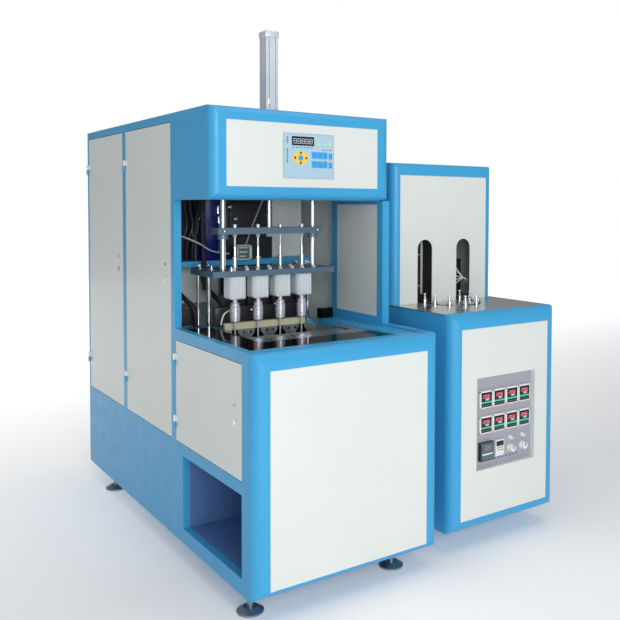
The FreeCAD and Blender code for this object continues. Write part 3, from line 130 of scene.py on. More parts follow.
def material(name, **settings):
    """A new material and its shader; the settings go on the shader's own sockets."""
    made = bpy.data.materials.new(name)
    made.use_nodes = True
    shader = made.node_tree.nodes["Principled BSDF"]
    names = {"colour": "Base Color", "metal": "Metallic", "rough": "Roughness", "coat": "Coat Weight",
             "coat_rough": "Coat Roughness", "glow": "Emission Strength", "glow_colour": "Emission Color",
             "clear": "Transmission Weight", "bend": "IOR", "shine": "Specular IOR Level"}
    for word, value in settings.items():
        shader.inputs[names[word]].default_value = (*value, 1) if isinstance(value, tuple) else value
    return made, made.node_tree, shader


def plain_floor():
    """White floor that grows lighter towards the back, where the lamps no longer reach."""
    made, tree, shader = material("floor_white", colour=(0.93, 0.93, 0.93), rough=0.9,
                                  glow_colour=(1.0, 1.0, 1.0))
    place = tree.nodes.new("ShaderNodeTexCoord")
    split = tree.nodes.new("ShaderNodeSeparateXYZ")
    tree.links.new(place.outputs["Object"], split.inputs["Vector"])
    ramp(tree, split.outputs["Y"], *FLOOR_GLOW, shader.inputs["Emission Strength"], FLOOR_SPAN)
    return made


def noise(tree, scale, detail=2.0, stretch=(1, 1, 1)):
    """Noise on Object coordinates, stretched along the axes."""
    place = tree.nodes.new("ShaderNodeTexCoord")
    turn = tree.nodes.new("ShaderNodeMapping")
    turn.inputs["Scale"].default_value = stretch
    grain = tree.nodes.new("ShaderNodeTexNoise")
    grain.inputs["Scale"].default_value = scale
    grain.inputs["Detail"].default_value = detail
    tree.links.new(place.outputs["Object"], turn.inputs["Vector"])
    tree.links.new(turn.outputs["Vector"], grain.inputs["Vector"])
    return grain.outputs["Fac"]


def ramp(tree, source, low, high, target, span=NOISE_SPAN):
    """Spread a value between two numbers or two colours, into the target socket."""
    if isinstance(low, tuple):
        spread = tree.nodes.new("ShaderNodeMix")
        spread.data_type = "RGBA"
        tree.links.new(source, spread.inputs["Factor"])
        spread.inputs["A"].default_value = (*low, 1)
        spread.inputs["B"].default_value = (*high, 1)
        tree.links.new(spread.outputs["Result"], target)
        return
    spread = tree.nodes.new("ShaderNodeMapRange")
    for name, value in zip(("From Min", "From Max", "To Min", "To Max"), (*span, low, high)):
        spread.inputs[name].default_value = value
    tree.links.new(source, spread.inputs["Value"])
    tree.links.new(spread.outputs["Result"], target)


def maths(tree, operation, first, second):
    """One Math node; each of the two is a socket or a number."""
    part = tree.nodes.new("ShaderNodeMath")
    part.operation = operation
    for socket, value in zip(part.inputs, (first, second)):
        if isinstance(value, (int, float)):
            socket.default_value = value
        else:
            tree.links.new(value, socket)
    return part.outputs[0]


def bump(tree, shader, source, strength, depth):
    raised = tree.nodes.new("ShaderNodeBump")
    raised.inputs["Strength"].default_value = strength
    raised.inputs["Distance"].default_value = depth
    tree.links.new(source, raised.inputs["Height"])
    tree.links.new(raised.outputs["Normal"], shader.inputs["Normal"])


def shaded(colour, share):
    return tuple(c * share for c in colour)


def sprayed(name, colour, rough=0.34, coat=0.06, depth=0.00005):
    """Stoved paint on sheet steel: fine orange peel, a little cloudiness, a clear gloss."""
    made, tree, shader = material(name, colour=colour, coat=coat, coat_rough=0.12, shine=0.35)
    ramp(tree, noise(tree, 2.2), shaded(colour, 0.95), shaded(colour, 1.04), shader.inputs["Base Color"])
    ramp(tree, noise(tree, 14), rough - 0.05, rough + 0.08, shader.inputs["Roughness"])
    bump(tree, shader, noise(tree, 420, 1.0), 0.12, depth)
    return made


def drawn_metal(name, colour, rough, along=(1, 1, 1), scale=180, depth=0.00005):
    """Ground or brushed metal: fine streaks that run along the axis with the smallest scale."""
    made, tree, shader = material(name, colour=colour, metal=1.0)
    streaks = noise(tree, scale, 3.0, along)
    ramp(tree, noise(tree, 6), shaded(colour, 0.93), shaded(colour, 1.05), shader.inputs["Base Color"])
    ramp(tree, streaks, rough * 0.7, rough * 1.4, shader.inputs["Roughness"])
    bump(tree, shader, streaks, 0.2, depth)
    return made


def part_metal(name, colour, rough):
    """Blasted or anodised metal: half metal, half matt, with a fine grain."""
    made, tree, shader = material(name, colour=colour, metal=0.45)
    ramp(tree, noise(tree, 9), shaded(colour, 0.9), shaded(colour, 1.08), shader.inputs["Base Color"])
    ramp(tree, noise(tree, 120), rough * 0.8, rough * 1.25, shader.inputs["Roughness"])
    bump(tree, shader, noise(tree, 700, 2.0), 0.15, 0.00004)
    return made


def moulded(name, colour, rough=0.4, depth=0.00004):
    """Moulded plastic with a fine even grain."""
    made, tree, shader = material(name, colour=colour)
    ramp(tree, noise(tree, 30), shaded(colour, 0.97), shaded(colour, 1.03), shader.inputs["Base Color"])
    ramp(tree, noise(tree, 60), rough - 0.05, rough + 0.06, shader.inputs["Roughness"])
    bump(tree, shader, noise(tree, 900, 1.0), 0.2, depth)
    return made


def hose_rubber():
    made, tree, shader = material("hose_rubber", colour=(0.012, 0.012, 0.014))
    ramp(tree, noise(tree, 40), 0.38, 0.55, shader.inputs["Roughness"])
    bump(tree, shader, noise(tree, 500, 2.0), 0.3, 0.0001)
    return made


def glossy_black():
    made, tree, shader = material("black_enamel", colour=(0.004, 0.004, 0.005), shine=0.10)
    ramp(tree, noise(tree, 8), 0.05, 0.12, shader.inputs["Roughness"])
    bump(tree, shader, noise(tree, 300, 1.0), 0.05, 0.00003)
    return made


# faces less than a skin deep are outside faces; deeper ones take the painted cavity shade, a near-black
# colour that stands in for the shadow and dark reflections in a mould's cavities
SKIN = 0.0008
PAINTED_CAVITY_SHADE = (0.012, 0.014, 0.022, 1)


def paint_cavity_shade(tree, shader, low, high):
    """Paint shade on each face of a mould half that lies more than a skin inside its box: the cavities get a
    near-black painted shade and painted dark reflection.
    """
    place, split, mix = (tree.nodes.new("ShaderNode" + kind) for kind in ("TexCoord", "SeparateXYZ", "Mix"))
    tree.links.new(place.outputs["Object"], split.inputs["Vector"])
    inside = 1.0
    for axis, start, end in zip("XYZ", low, high):
        above = maths(tree, "GREATER_THAN", split.outputs[axis], start + SKIN)
        below = maths(tree, "LESS_THAN", split.outputs[axis], end - SKIN)
        inside = maths(tree, "MULTIPLY", maths(tree, "MULTIPLY", above, below), inside)
    mix.data_type = "RGBA"
    colour = shader.inputs["Base Color"]
    tree.links.new(colour.links[0].from_socket, mix.inputs["A"])
    mix.inputs["B"].default_value = PAINTED_CAVITY_SHADE
    tree.links.new(inside, mix.inputs["Factor"])
    tree.links.new(mix.outputs["Result"], colour)


def mould_steel_with_painted_shade(node):
    """Ground steel whose cavities carry painted shade and painted dark reflection."""
    made = drawn_metal(node + "_steel", (0.42, 0.48, 0.47), 0.45, (1, 1, 0.1), scale=90)
    paint_cavity_shade(made.node_tree, made.node_tree.nodes["Principled BSDF"], *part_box(node))
    return made


def glowing(name, colour, strength):
    """A lit segment behind a clear face."""
    made, tree, shader = material(name, colour=colour, glow_colour=colour, glow=strength, rough=0.3)
    ramp(tree, noise(tree, 300), shaded(colour, 0.8), colour, shader.inputs["Base Color"])
    return made


BLUE = (0.050, 0.37, 0.68)
CREAM = (0.73, 0.77, 0.74)
materials = {
    "blue_paint": sprayed("blue_enamel", BLUE),
    "cream_paint": sprayed("cream_enamel", CREAM, rough=0.38, coat=0.2),
    "dark_blue_paint": sprayed("navy_enamel", (0.005, 0.012, 0.17), rough=0.3, coat=0.15),
    "black_paint": glossy_black(),
    "black_rubber": hose_rubber(),
    "stainless": drawn_metal("table_stainless", (0.60, 0.60, 0.58), 0.26, (1, 0.06, 1)),
    "steel": drawn_metal("ground_steel", (0.33, 0.36, 0.40), 0.34, (0.06, 1, 1)),
    "chrome": drawn_metal("hard_chrome", (0.80, 0.81, 0.84), 0.10, (1, 1, 0.02), depth=0.00001),
    "aluminium": part_metal("satin_aluminium", (0.76, 0.80, 0.84), 0.45),
    "zinc": drawn_metal("zinc_plate", (0.35, 0.36, 0.38), 0.38),
    "pale_plastic": moulded("keypad_film", (0.42, 0.60, 0.72), 0.3),
    "black_plastic": moulded("black_case", (0.016, 0.016, 0.018), 0.3),
    "white_plastic": moulded("white_knob", (0.82, 0.82, 0.80), 0.3),
    "lamp_glass": drawn_metal("lamp_holder_metal", (0.62, 0.60, 0.56), 0.3),
    "mould_steel": drawn_metal("mould_steel", (0.40, 0.46, 0.46), 0.42, (1, 1, 0.1), scale=90),
    "plate_steel": part_metal("blued_plate_steel", (0.13, 0.21, 0.28), 0.42),
    "beige_paint": sprayed("beige_enamel", (0.62, 0.60, 0.40), rough=0.45, coat=0.1),
    "white_anodised": part_metal("white_anodised", (0.80, 0.86, 0.90), 0.36),
    "nozzle_metal": part_metal("nozzle_satin", (0.72, 0.73, 0.80), 0.30),
    "recess_blue": sprayed("recess_enamel", (0.10, 0.20, 0.44), rough=0.45, coat=0.0),
    "brass": drawn_metal("nickel_brass", (0.78, 0.70, 0.52), 0.25),
    "grey_tube": moulded("grey_tube", (0.42, 0.43, 0.42), 0.35),
    "white_tube": moulded("white_tube", (0.85, 0.87, 0.90), 0.3),
    "mint": moulded("mint_case", (0.50, 0.62, 0.52), 0.4),
    "charcoal": sprayed("charcoal_enamel", (0.030, 0.030, 0.036), rough=0.4, coat=0.1),
    "key_blue": moulded("key_blue", (0.03, 0.36, 0.78), 0.28),
    "key_yellow": moulded("key_yellow", (0.90, 0.62, 0.07), 0.3),
    "display_black": moulded("display_black", (0.012, 0.012, 0.014), 0.12),
    "print_navy": moulded("print_navy", (0.05, 0.10, 0.24), 0.4),
    "print_rose": moulded("print_rose", (0.62, 0.33, 0.38), 0.4),
    "meter_slate": moulded("meter_slate", (0.09, 0.14, 0.17), 0.3),
    "panel_grey": sprayed("panel_grey", (0.36, 0.38, 0.44)),
    # the cavities of both mould halves are painted near black: painted shade and painted dark reflection
    "fixed_half": mould_steel_with_painted_shade("fixed_mould_half"),
    "moving_half": mould_steel_with_painted_shade("moving_mould_half"),
    "lit_red": glowing("lit_red", (0.80, 0.16, 0.22), 0.7),
    "lit_green": glowing("lit_green", (0.03, 0.50, 0.32), 0.45),
    "lit_pale": glowing("lit_pale", (0.62, 0.74, 0.80), 0.5),
    "lit_lime": glowing("lit_lime", (0.45, 0.62, 0.05), 0.6),
}


# nodes whose finish is not the plain one of their slot
FINISHES = {
    "control_plate": "panel_grey", "fixed_mould_half": "fixed_half", "moving_mould_half": "moving_half",
    "moving_platen": "mould_steel", "neck_bar": "beige_paint", "seal_plate": "plate_steel",
    "stretch_plate": "plate_steel", "valve_box": "mint", "recess_tray": "recess_blue",
    "stretch_rods": "nozzle_metal",
}


def finish_frame():
    slots = {item["node"]: item["material_slot"] for item in frame["record"]["subparts"]}
    for name, node in frame["nodes"].items():
        node.data.materials.clear()
        node.data.materials.append(materials[FINISHES.get(name, slots[name])])


# ---------------------------------------------------------------- making shapes

def block(bm, low, high, chamfer=0.0):
    """A box between two corners, its edges eased by the chamfer."""
    made = bmesh.ops.create_cube(bm, size=1)["verts"]
    bmesh.ops.scale(bm, vec=[h - l for l, h in zip(low, high)], verts=made)
    bmesh.ops.translate(bm, vec=[(h + l) / 2 for l, h in zip(low, high)], verts=made)
    if chamfer:
        edges = list({edge for vert in made for edge in vert.link_edges})
        bmesh.ops.bevel(bm, geom=edges, offset=chamfer, segments=2, profile=0.5, affect="EDGES")


def turned(bm, centre, profile, axis="z", sides=24, hollow=False):
    """A turned shape; the profile is (radius, distance along the axis). Axis y points to the front."""
    rings = []
    for radius, along in profile:
        ring = []
        for step in range(sides):
            angle = 2 * math.pi * step / sides
            a, b = radius * math.cos(angle), radius * math.sin(angle)
            offset = {"z": (a, b, along), "y": (a, -along, b), "x": (along, a, b)}[axis]
            ring.append(bm.verts.new(Vector(centre) + Vector(offset)))
        rings.append(ring)
    pairs = list(zip(rings, rings[1:]))
    if hollow:
        pairs.append((rings[-1], rings[0]))
    for lower, upper in pairs:
        for step in range(sides):
            after = (step + 1) % sides
            bm.faces.new((lower[step], lower[after], upper[after], upper[step]))
    if not hollow:
        bm.faces.new(rings[0])
        bm.faces.new(rings[-1])


def prism(bm, outline, start, end, axis="z"):
    """A flat outline drawn out from start to end; for axis y the outline is in X and Z."""
    layers = []
    for place in (start, end):
        corners = [(u, v, place) if axis == "z" else (u, place, v) for u, v in outline]
        layers.append([bm.verts.new(corner) for corner in corners])
    count = len(outline)
    for step in range(count):
        after = (step + 1) % count
        bm.faces.new((layers[0][step], layers[0][after], layers[1][after], layers[1][step]))
    bm.faces.new(layers[0])
    bm.faces.new(layers[1])


def tube(bm, points, radius):
    """A bent tube through space, held at both ends."""
    curve = bpy.data.curves.new("run", "CURVE")
    curve.dimensions = "3D"
    curve.bevel_depth = radius
    curve.bevel_resolution = 3
    curve.use_fill_caps = True
    run = curve.splines.new("NURBS")
    run.points.add(len(points) - 1)
    for held, place in zip(run.points, points):
        held.co = (*place, 1)
    run.order_u = 3
    run.use_endpoint_u = True
    carrier = bpy.data.objects.new("run", curve)
    bpy.context.collection.objects.link(carrier)
    shape = bpy.data.meshes.new_from_object(carrier.evaluated_get(bpy.context.evaluated_depsgraph_get()))
    bm.from_mesh(shape)
    bpy.data.objects.remove(carrier)
    bpy.data.curves.remove(curve)
    bpy.data.meshes.remove(shape)


def show(name, mesh, finish, body, replaced):
    made = bpy.data.objects.new(name, mesh)
    bpy.context.collection.objects.link(made)
    mesh.materials.clear()
    mesh.materials.append(materials[finish])
    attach(made, body)
    if replaced:
        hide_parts(*replaced)


def piece(name, bm, finish, body=MACHINE, replaced=(), crease=35):
    """Close, smooth and place one finished piece."""
    bmesh.ops.remove_doubles(bm, verts=bm.verts, dist=0.00001)
    bmesh.ops.recalc_face_normals(bm, faces=bm.faces)
    mesh = bpy.data.meshes.new(name)
    bm.to_mesh(mesh)
    bm.free()
    mesh.shade_smooth()
    mesh.set_sharp_from_angle(angle=math.radians(crease))
    show(name, mesh, finish, body, replaced)


def tubes(name, runs, finish, start=(0, 0, 0)):
    """One piece made of bent tubes, each (points from the start, radius)."""
    bm = bmesh.new()
    for points, radius in runs:
        tube(bm, [Vector(start) + Vector(point) for point in points], radius)
    piece(name, bm, finish)


def boxes(name, spans, finish, body=MACHINE):
    """One piece made of boxes, each a low corner, a high corner and perhaps a chamfer."""
    bm = bmesh.new()
    for span in spans:
        block(bm, *span)
    piece(name, bm, finish, body)


def solids_of(node):
    """The corners of each separate solid in a CAD node, lowest row first, then left to right."""
    bm = bmesh.new()
    bm.from_mesh(frame["nodes"][node].data)
    bmesh.ops.remove_doubles(bm, verts=bm.verts, dist=0.00001)
    waiting = set(bm.verts)
    found = []
    while waiting:
        island = [waiting.pop()]
        for vert in island:
            for edge in vert.link_edges:
                other = edge.other_vert(vert)
                if other in waiting:
                    waiting.remove(other)
                    island.append(other)
        low = Vector([min(vert.co[i] for vert in island) for i in range(3)])
        high = Vector([max(vert.co[i] for vert in island) for i in range(3)])
        found.append((low, high))
    bm.free()
    return sorted(found, key=lambda pair: (round(pair[0].z, 3), round(pair[0].x, 3), round(pair[0].y, 3)))


# ---------------------------------------------------------------- rows made by Geometry Nodes

# the crown of a fastener, as shares of the head's radius and height
CROWN_FOOT = 0.86
CROWN_TOP = 0.5
CROWN_RISE = 0.35


def add_socket(tree, name, kind, way="INPUT"):
    return tree.interface.new_socket(name, in_out=way, socket_type="NodeSocket" + kind)


def scattered(tree, shape, points, turn, given):
    """Set the shape on every point, make it real, give it its material and hand it out."""
    node, link = tree.nodes.new, tree.links.new
    spread, real = node("GeometryNodeInstanceOnPoints"), node("GeometryNodeRealizeInstances")
    finish, result = node("GeometryNodeSetMaterial"), node("NodeGroupOutput")
    link(points, spread.inputs["Points"])
    link(shape, spread.inputs["Instance"])
    link(turn, spread.inputs["Rotation"])
    link(spread.outputs["Instances"], real.inputs["Geometry"])
    link(real.outputs["Geometry"], finish.inputs["Geometry"])
    link(given.outputs["Finish"], finish.inputs["Material"])
    link(finish.outputs["Geometry"], result.inputs[0])
    return tree


def fastener_tree():
    """One domed screw or nut at every point: a prism with a smaller crown on it."""
    tree = bpy.data.node_groups.new("fasteners", "GeometryNodeTree")
    for name, kind in (("Points", "Geometry"), ("Head radius", "Float"), ("Head height", "Float"),
                       ("Sides", "Int"), ("Turn", "Vector"), ("Finish", "Material")):
        add_socket(tree, name, kind)
    add_socket(tree, "Fasteners", "Geometry", "OUTPUT")
    node, link = tree.nodes.new, tree.links.new
    given, joined = node("NodeGroupInput"), node("GeometryNodeJoinGeometry")
    head, crown = node("GeometryNodeMeshCylinder"), node("GeometryNodeMeshCone")
    radius, height = given.outputs["Head radius"], given.outputs["Head height"]
    for part in (head, crown):
        link(given.outputs["Sides"], part.inputs["Vertices"])
    link(radius, head.inputs["Radius"])
    link(height, head.inputs["Depth"])
    for name, source, share in (("Radius Bottom", radius, CROWN_FOOT), ("Radius Top", radius, CROWN_TOP),
                                ("Depth", height, CROWN_RISE)):
        link(maths(tree, "MULTIPLY", source, share), crown.inputs[name])
    for part, rise in ((head, maths(tree, "MULTIPLY", height, 0.5)), (crown, height)):
        lift, moved = node("ShaderNodeCombineXYZ"), node("GeometryNodeTransform")
        link(rise, lift.inputs["Z"])
        link(part.outputs["Mesh"], moved.inputs["Geometry"])
        link(lift.outputs["Vector"], moved.inputs["Translation"])
        link(moved.outputs["Geometry"], joined.inputs["Geometry"])
    return scattered(tree, joined.outputs["Geometry"], given.outputs["Points"], given.outputs["Turn"], given)


def louvre_tree():
    """A stack of tilted slats, one above the other."""
    tree = bpy.data.node_groups.new("louvres", "GeometryNodeTree")
    for name, kind in (("Base", "Geometry"), ("Count", "Int"), ("Start", "Vector"), ("Pitch", "Vector"),
                       ("Slat", "Vector"), ("Tilt", "Vector"), ("Finish", "Material")):
        add_socket(tree, name, kind)
    add_socket(tree, "Louvres", "Geometry", "OUTPUT")
    given, line, slat = (tree.nodes.new(kind) for kind in ("NodeGroupInput", "GeometryNodeMeshLine",
                                                           "GeometryNodeMeshCube"))
    for source, target in (("Count", line.inputs["Count"]), ("Start", line.inputs["Start Location"]),
                           ("Pitch", line.inputs["Offset"]), ("Slat", slat.inputs["Size"])):
        tree.links.new(given.outputs[source], target)
    return scattered(tree, slat.outputs["Mesh"], line.outputs["Mesh"], given.outputs["Tilt"], given)


def grown(name, points, tree, finish, slot, body, **inputs):
    """Run a tree on a set of points and keep its result as a plain mesh."""
    seed = bpy.data.meshes.new(name + "_points")
    seed.from_pydata([tuple(point) for point in points], [], [])
    carrier = bpy.data.objects.new(name + "_points", seed)
    bpy.context.collection.objects.link(carrier)
    modifier = carrier.modifiers.new("grown", "NODES")
    modifier.node_group = tree
    inputs["finish"] = materials[finish]
    for socket in tree.interface.items_tree:
        word = socket.name.lower().replace(" ", "_")
        if socket.in_out == "INPUT" and word in inputs:
            modifier[socket.identifier] = inputs[word]
    mesh = bpy.data.meshes.new_from_object(carrier.evaluated_get(bpy.context.evaluated_depsgraph_get()))
    bpy.data.objects.remove(carrier)
    mesh.shade_smooth()
    mesh.set_sharp_from_angle(angle=math.radians(35))
    show(name, mesh, finish, body, ())


FASTENERS = fastener_tree()
LOUVRES = louvre_tree()
FACING = {"up": (0, 0, 0), "down": (math.pi, 0, 0), "front": (math.pi / 2, 0, 0),
          "back": (-math.pi / 2, 0, 0), "left": (0, -math.pi / 2, 0), "right": (0, math.pi / 2, 0)}


def fasteners(name, points, radius, height, facing, finish, slot, sides=12, body=MACHINE):
    grown(name, points, FASTENERS, finish, slot, body, head_radius=radius, head_height=height, sides=sides,
          turn=FACING[facing])


# ---------------------------------------------------------------- keypad

SEGMENTS = {"a": (0, 1, 1, 1), "b": (1, 0.5, 1, 1), "c": (1, 0, 1, 0.5), "d": (0, 0, 1, 0),
            "e": (0, 0, 0, 0.5), "f": (0, 0.5, 0, 1), "g": (0, 0.5, 1, 0.5)}
DIGITS = {"0": "abcdef", "1": "bc", "2": "abged", "5": "afgcd", "6": "afgedc", "8": "abcdefg", "9": "abcdfg"}


def digits(bm, text, left, base, width, height, front, stroke):
    """Plain seven-bar digits that stand on a face."""
    pitch = width / len(text)
    wide = pitch * 0.62
    for place, digit in enumerate(text):
        x = left + place * pitch + (pitch - wide) / 2
        for bar in DIGITS[digit]:
            x0, z0, x1, z1 = SEGMENTS[bar]
            block(bm, (x + x0 * wide - stroke / 2, front - 0.0004, base + z0 * height - stroke / 2),
                  (x + x1 * wide + stroke / 2, front, base + z1 * height + stroke / 2))


def keypad():
    """The film on the head panel: display, lamps, a round arrow pad and two rows of keys."""
    low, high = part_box("control_keypad")
    size = high - low
    front = low.y
    proud = 0.0012

    def film(left, top, right, bottom, rise=0.0006, ease=0.0):
        """A box raised on the film; its edges are shares of the keypad, from its top left corner."""
        return ((low.x + left * size.x, front - rise, high.z - bottom * size.z),
                (low.x + right * size.x, front, high.z - top * size.z), ease)

    edge = 0.012
    boxes("keypad_border", [film(0.0, 0.0, 1.0, edge), film(0.0, 1 - edge, 1.0, 1.0),
                            film(0.0, edge, edge, 1 - edge), film(1 - edge, edge, 1.0, 1 - edge)],
          "grey_tube")
    boxes("keypad_display", [film(0.165, 0.07, 0.60, 0.27, proud, 0.0004)], "display_black")
    bm = bmesh.new()
    digits(bm, "88888", low.x + 0.185 * size.x, high.z - 0.225 * size.z, 0.39 * size.x, 0.105 * size.z,
           front - proud, 0.0013)
    piece("keypad_digits", bm, "lit_pale")
    bm = bmesh.new()
    for lamp in (0.69, 0.80, 0.92):
        turned(bm, (low.x + lamp * size.x, front, high.z - 0.21 * size.z),
               [(0.0042, 0), (0.0038, 0.001), (0.001, 0.0022)], "y", 16)
    piece("keypad_lamps", bm, "lit_lime")
    marks = [film(0.175 + mark * 0.071, 0.305, 0.215 + mark * 0.071, 0.322) for mark in range(6)]
    marks += [film(0.76 + mark * 0.07, 0.34, 0.80 + mark * 0.07, 0.357) for mark in range(3)]
    marks += [film(0.065, 0.09 + mark * 0.055, 0.09, 0.12 + mark * 0.055) for mark in range(3)]
    marks += [film(0.065, 0.34 + mark * 0.038, 0.09, 0.362 + mark * 0.038) for mark in range(9)]
    boxes("keypad_marks", marks, "print_navy")
    marks = [film(0.57 + mark * 0.105, 0.568, 0.63 + mark * 0.105, 0.58) for mark in range(4)]
    boxes("keypad_rose_marks", marks, "print_rose")
    keys = []
    for top in (0.40, 0.605):
        for left in (0.553, 0.660, 0.767):
            keys.append(film(left, top, left + 0.102, top + 0.15, proud, 0.0005))
        keys.append(film(0.895, top + 0.02, 0.965, top + 0.15, proud, 0.0005))
    boxes("keypad_keys", keys, "key_blue")
    arrow_pad(Vector((low.x + 0.335 * size.x, front, high.z - 0.545 * size.z)), size)


def arrow_pad(middle, size):
    """A pad with bulging sides, four arrows on it and a round key in its middle."""
    bulge = 1.45
    pad_rise, arrow_rise = 0.0010, 0.0016
    rim = []
    for step in range(48):
        angle = 2 * math.pi * step / 48
        across, up = math.cos(angle), math.sin(angle)
        reach = 1 / (abs(across) ** bulge + abs(up) ** bulge) ** (1 / bulge)
        rim.append((middle.x + 0.165 * size.x * reach * across, middle.z + 0.155 * size.z * reach * up))
    bm = bmesh.new()
    prism(bm, rim, middle.y, middle.y - pad_rise, "y")
    piece("keypad_pad", bm, "key_yellow")
    bm = bmesh.new()
    for turn, span in ((0, size.x), (1, size.z), (2, size.x), (3, size.z)):
        ahead = Vector((math.cos(turn * math.pi / 2), math.sin(turn * math.pi / 2)))
        spot = Vector((middle.x, middle.z)) + ahead * 0.108 * span
        tip = ahead * 0.008
        side = Vector((-tip.y, tip.x)) * 0.75
        prism(bm, [tuple(spot + tip), tuple(spot + side - tip * 0.4), tuple(spot - side - tip * 0.4)],
              middle.y - pad_rise, middle.y - arrow_rise, "y")
    piece("keypad_arrows", bm, "display_black")
    bm = bmesh.new()
    turned(bm, middle, [(0.0115, 0), (0.0115, 0.0014), (0.0095, 0.0022)], "y", 32)
    piece("keypad_middle_key", bm, "key_blue")


# ---------------------------------------------------------------- stretch cylinder and blow station

NOZZLES = [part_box(f"blow_nozzle_{number + 1}") for number in range(4)]
STATIONS = [(low + high) / 2 for low, high in NOZZLES]
# the outside of a nozzle's sleeve, as (share of its radius, height above its tip)
SLEEVE = ((0.88, 0), (0.94, 0.002), (0.94, 0.015), (1, 0.017), (1, 0.061), (0.92, 0.063), (0.86, 0.064),
          (0.86, 0.077), (0.8, 0.079))


def four_sides(centre, side):
    """The points of one side, as (along, outward), repeated on all four sides of a square."""
    points = []
    for turn in range(4):
        a = turn * math.pi / 2
        for along, outward in side:
            points.append((centre.x + along * math.cos(a) + outward * math.sin(a),
                           centre.y + along * math.sin(a) - outward * math.cos(a)))
    return points


def grooved_outline(centre, half, groove, depth, spread):
    """A square with two grooves in each side, as an extruded cylinder barrel has."""
    side = [(-half, half)]
    for middle in (-spread, spread):
        left, right = middle - groove / 2, middle + groove / 2
        side += [(left, half), (left, half - depth), (right, half - depth), (right, half)]
    return four_sides(centre, side)


def stretch_cylinder():
    """The grooved barrel with its two end caps, bolts and ports."""
    low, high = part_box("stretch_cylinder")
    middle = (low + high) / 2
    half = (high.x - low.x) / 2
    low_cap, high_cap = 0.033, 0.030
    bm = bmesh.new()
    prism(bm, grooved_outline(middle, half - 0.003, 0.007, 0.010, 0.015), low.z + low_cap, high.z - high_cap)
    block(bm, (low.x, low.y, low.z), (high.x, high.y, low.z + low_cap), 0.003)
    block(bm, (low.x, low.y, high.z - high_cap), (high.x, high.y, high.z - 0.003), 0.003)
    turned(bm, (middle.x, middle.y, high.z - 0.003), [(0.018, 0), (0.018, 0.0015), (0.012, 0.003)])
    piece("stretch_cylinder_barrel", bm, "aluminium", replaced=("stretch_cylinder",))
    spots = [(middle.x + across, middle.y + along, high.z - 0.0035)
             for across in (-0.023, 0.023) for along in (-0.023, 0.023)]
    fasteners("stretch_cylinder_bolts", spots, 0.0052, 0.002, "up", "charcoal", "steel")
    bm = bmesh.new()
    for height in (low.z + 0.016, high.z - 0.016):
        turned(bm, (high.x - 0.001, middle.y, height), [(0.007, 0), (0.007, 0.006), (0.0055, 0.007),
                                                        (0.0055, 0.013)], "x", 12)
    piece("stretch_cylinder_ports", bm, "brass")


def fluted_outline(centre, half, flutes, rise):
    """A square with cut corners and raised flutes on all four sides."""
    steps = flutes * 6
    reach = half - 0.009
    side = []
    for step in range(steps):
        share = (step + 0.5) / steps
        inward = rise * (0.5 - 0.5 * math.cos(2 * math.pi * share * flutes))
        side.append((-reach + share * 2 * reach, half - rise + inward))
    return four_sides(centre, side)


def seal_cylinders():
    """Fluted bodies under the seal plate, and the glands that stand through it."""
    low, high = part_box("seal_cylinders")
    plate_low, plate_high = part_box("seal_plate")
    half = (high.y - low.y) / 2
    foot, inset = 0.006, half - 0.006
    bm = bmesh.new()
    for centre in STATIONS:
        prism(bm, fluted_outline(centre, half, 5, 0.0035), low.z + foot, plate_low.z - 0.001)
        block(bm, (centre.x - inset, centre.y - inset, low.z),
              (centre.x + inset, centre.y + inset, low.z + foot), 0.002)
    piece("seal_cylinder_bodies", bm, "white_anodised", replaced=("seal_cylinders",))
    top = high.z - plate_high.z
    bm = bmesh.new()
    for centre in STATIONS:
        turned(bm, (centre.x, centre.y, plate_high.z),
               [(0.0045, -0.024), (0.009, -0.024), (0.009, 0.0), (0.013, 0.0), (0.013, 0.006),
                (0.009, 0.008), (0.009, 0.046), (0.0125, 0.047), (0.0125, 0.056), (0.006, 0.058),
                (0.006, top), (0.0045, top)], hollow=True)
    piece("seal_cylinder_glands", bm, "chrome")


def nozzle_sleeves():
    """The turned sleeve of each nozzle, which slides with it."""
    bore, neck = 0.0046, 0.011
    for number, (low, high) in enumerate(NOZZLES):
        radius, tall = (high.x - low.x) / 2, high.z - low.z
        outside = [(radius * share, along) for share, along in SLEEVE]
        bm = bmesh.new()
        turned(bm, (STATIONS[number].x, STATIONS[number].y, low.z),
               [(bore, 0), *outside, (neck, SLEEVE[-1][1]), (neck, tall), (bore, tall)],
               sides=64, hollow=True)
        piece(f"nozzle_{number + 1}_sleeve", bm, "nozzle_metal", f"nozzle_{number + 1}",
              (f"blow_nozzle_{number + 1}",), 12)


def seal_plate_details():
    """Nuts beside each cylinder, and the fittings at the plate's corners."""
    low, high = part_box("seal_plate")
    front_row, back_row = low.y + 0.014, high.y - 0.030
    studs = []
    for centre in STATIONS:
        for x in (centre.x - 0.030, centre.x + 0.030):
            studs += [(x, front_row, high.z), (x, centre.y + 0.052, high.z)]
    fasteners("seal_plate_nuts", studs, 0.0085, 0.009, "up", "white_anodised", "chrome", 6)
    bm = bmesh.new()
    for x, y in ((low.x + 0.030, back_row), (low.x + 0.040, back_row - 0.10), (high.x - 0.030, back_row),
                 (low.x + 0.088, front_row)):
        turned(bm, (x, y, high.z), [(0.013, 0), (0.013, 0.004), (0.009, 0.006), (0.009, 0.011),
                                    (0.0045, 0.013), (0.0045, 0.018)], sides=12)
    piece("seal_plate_fittings", bm, "chrome")


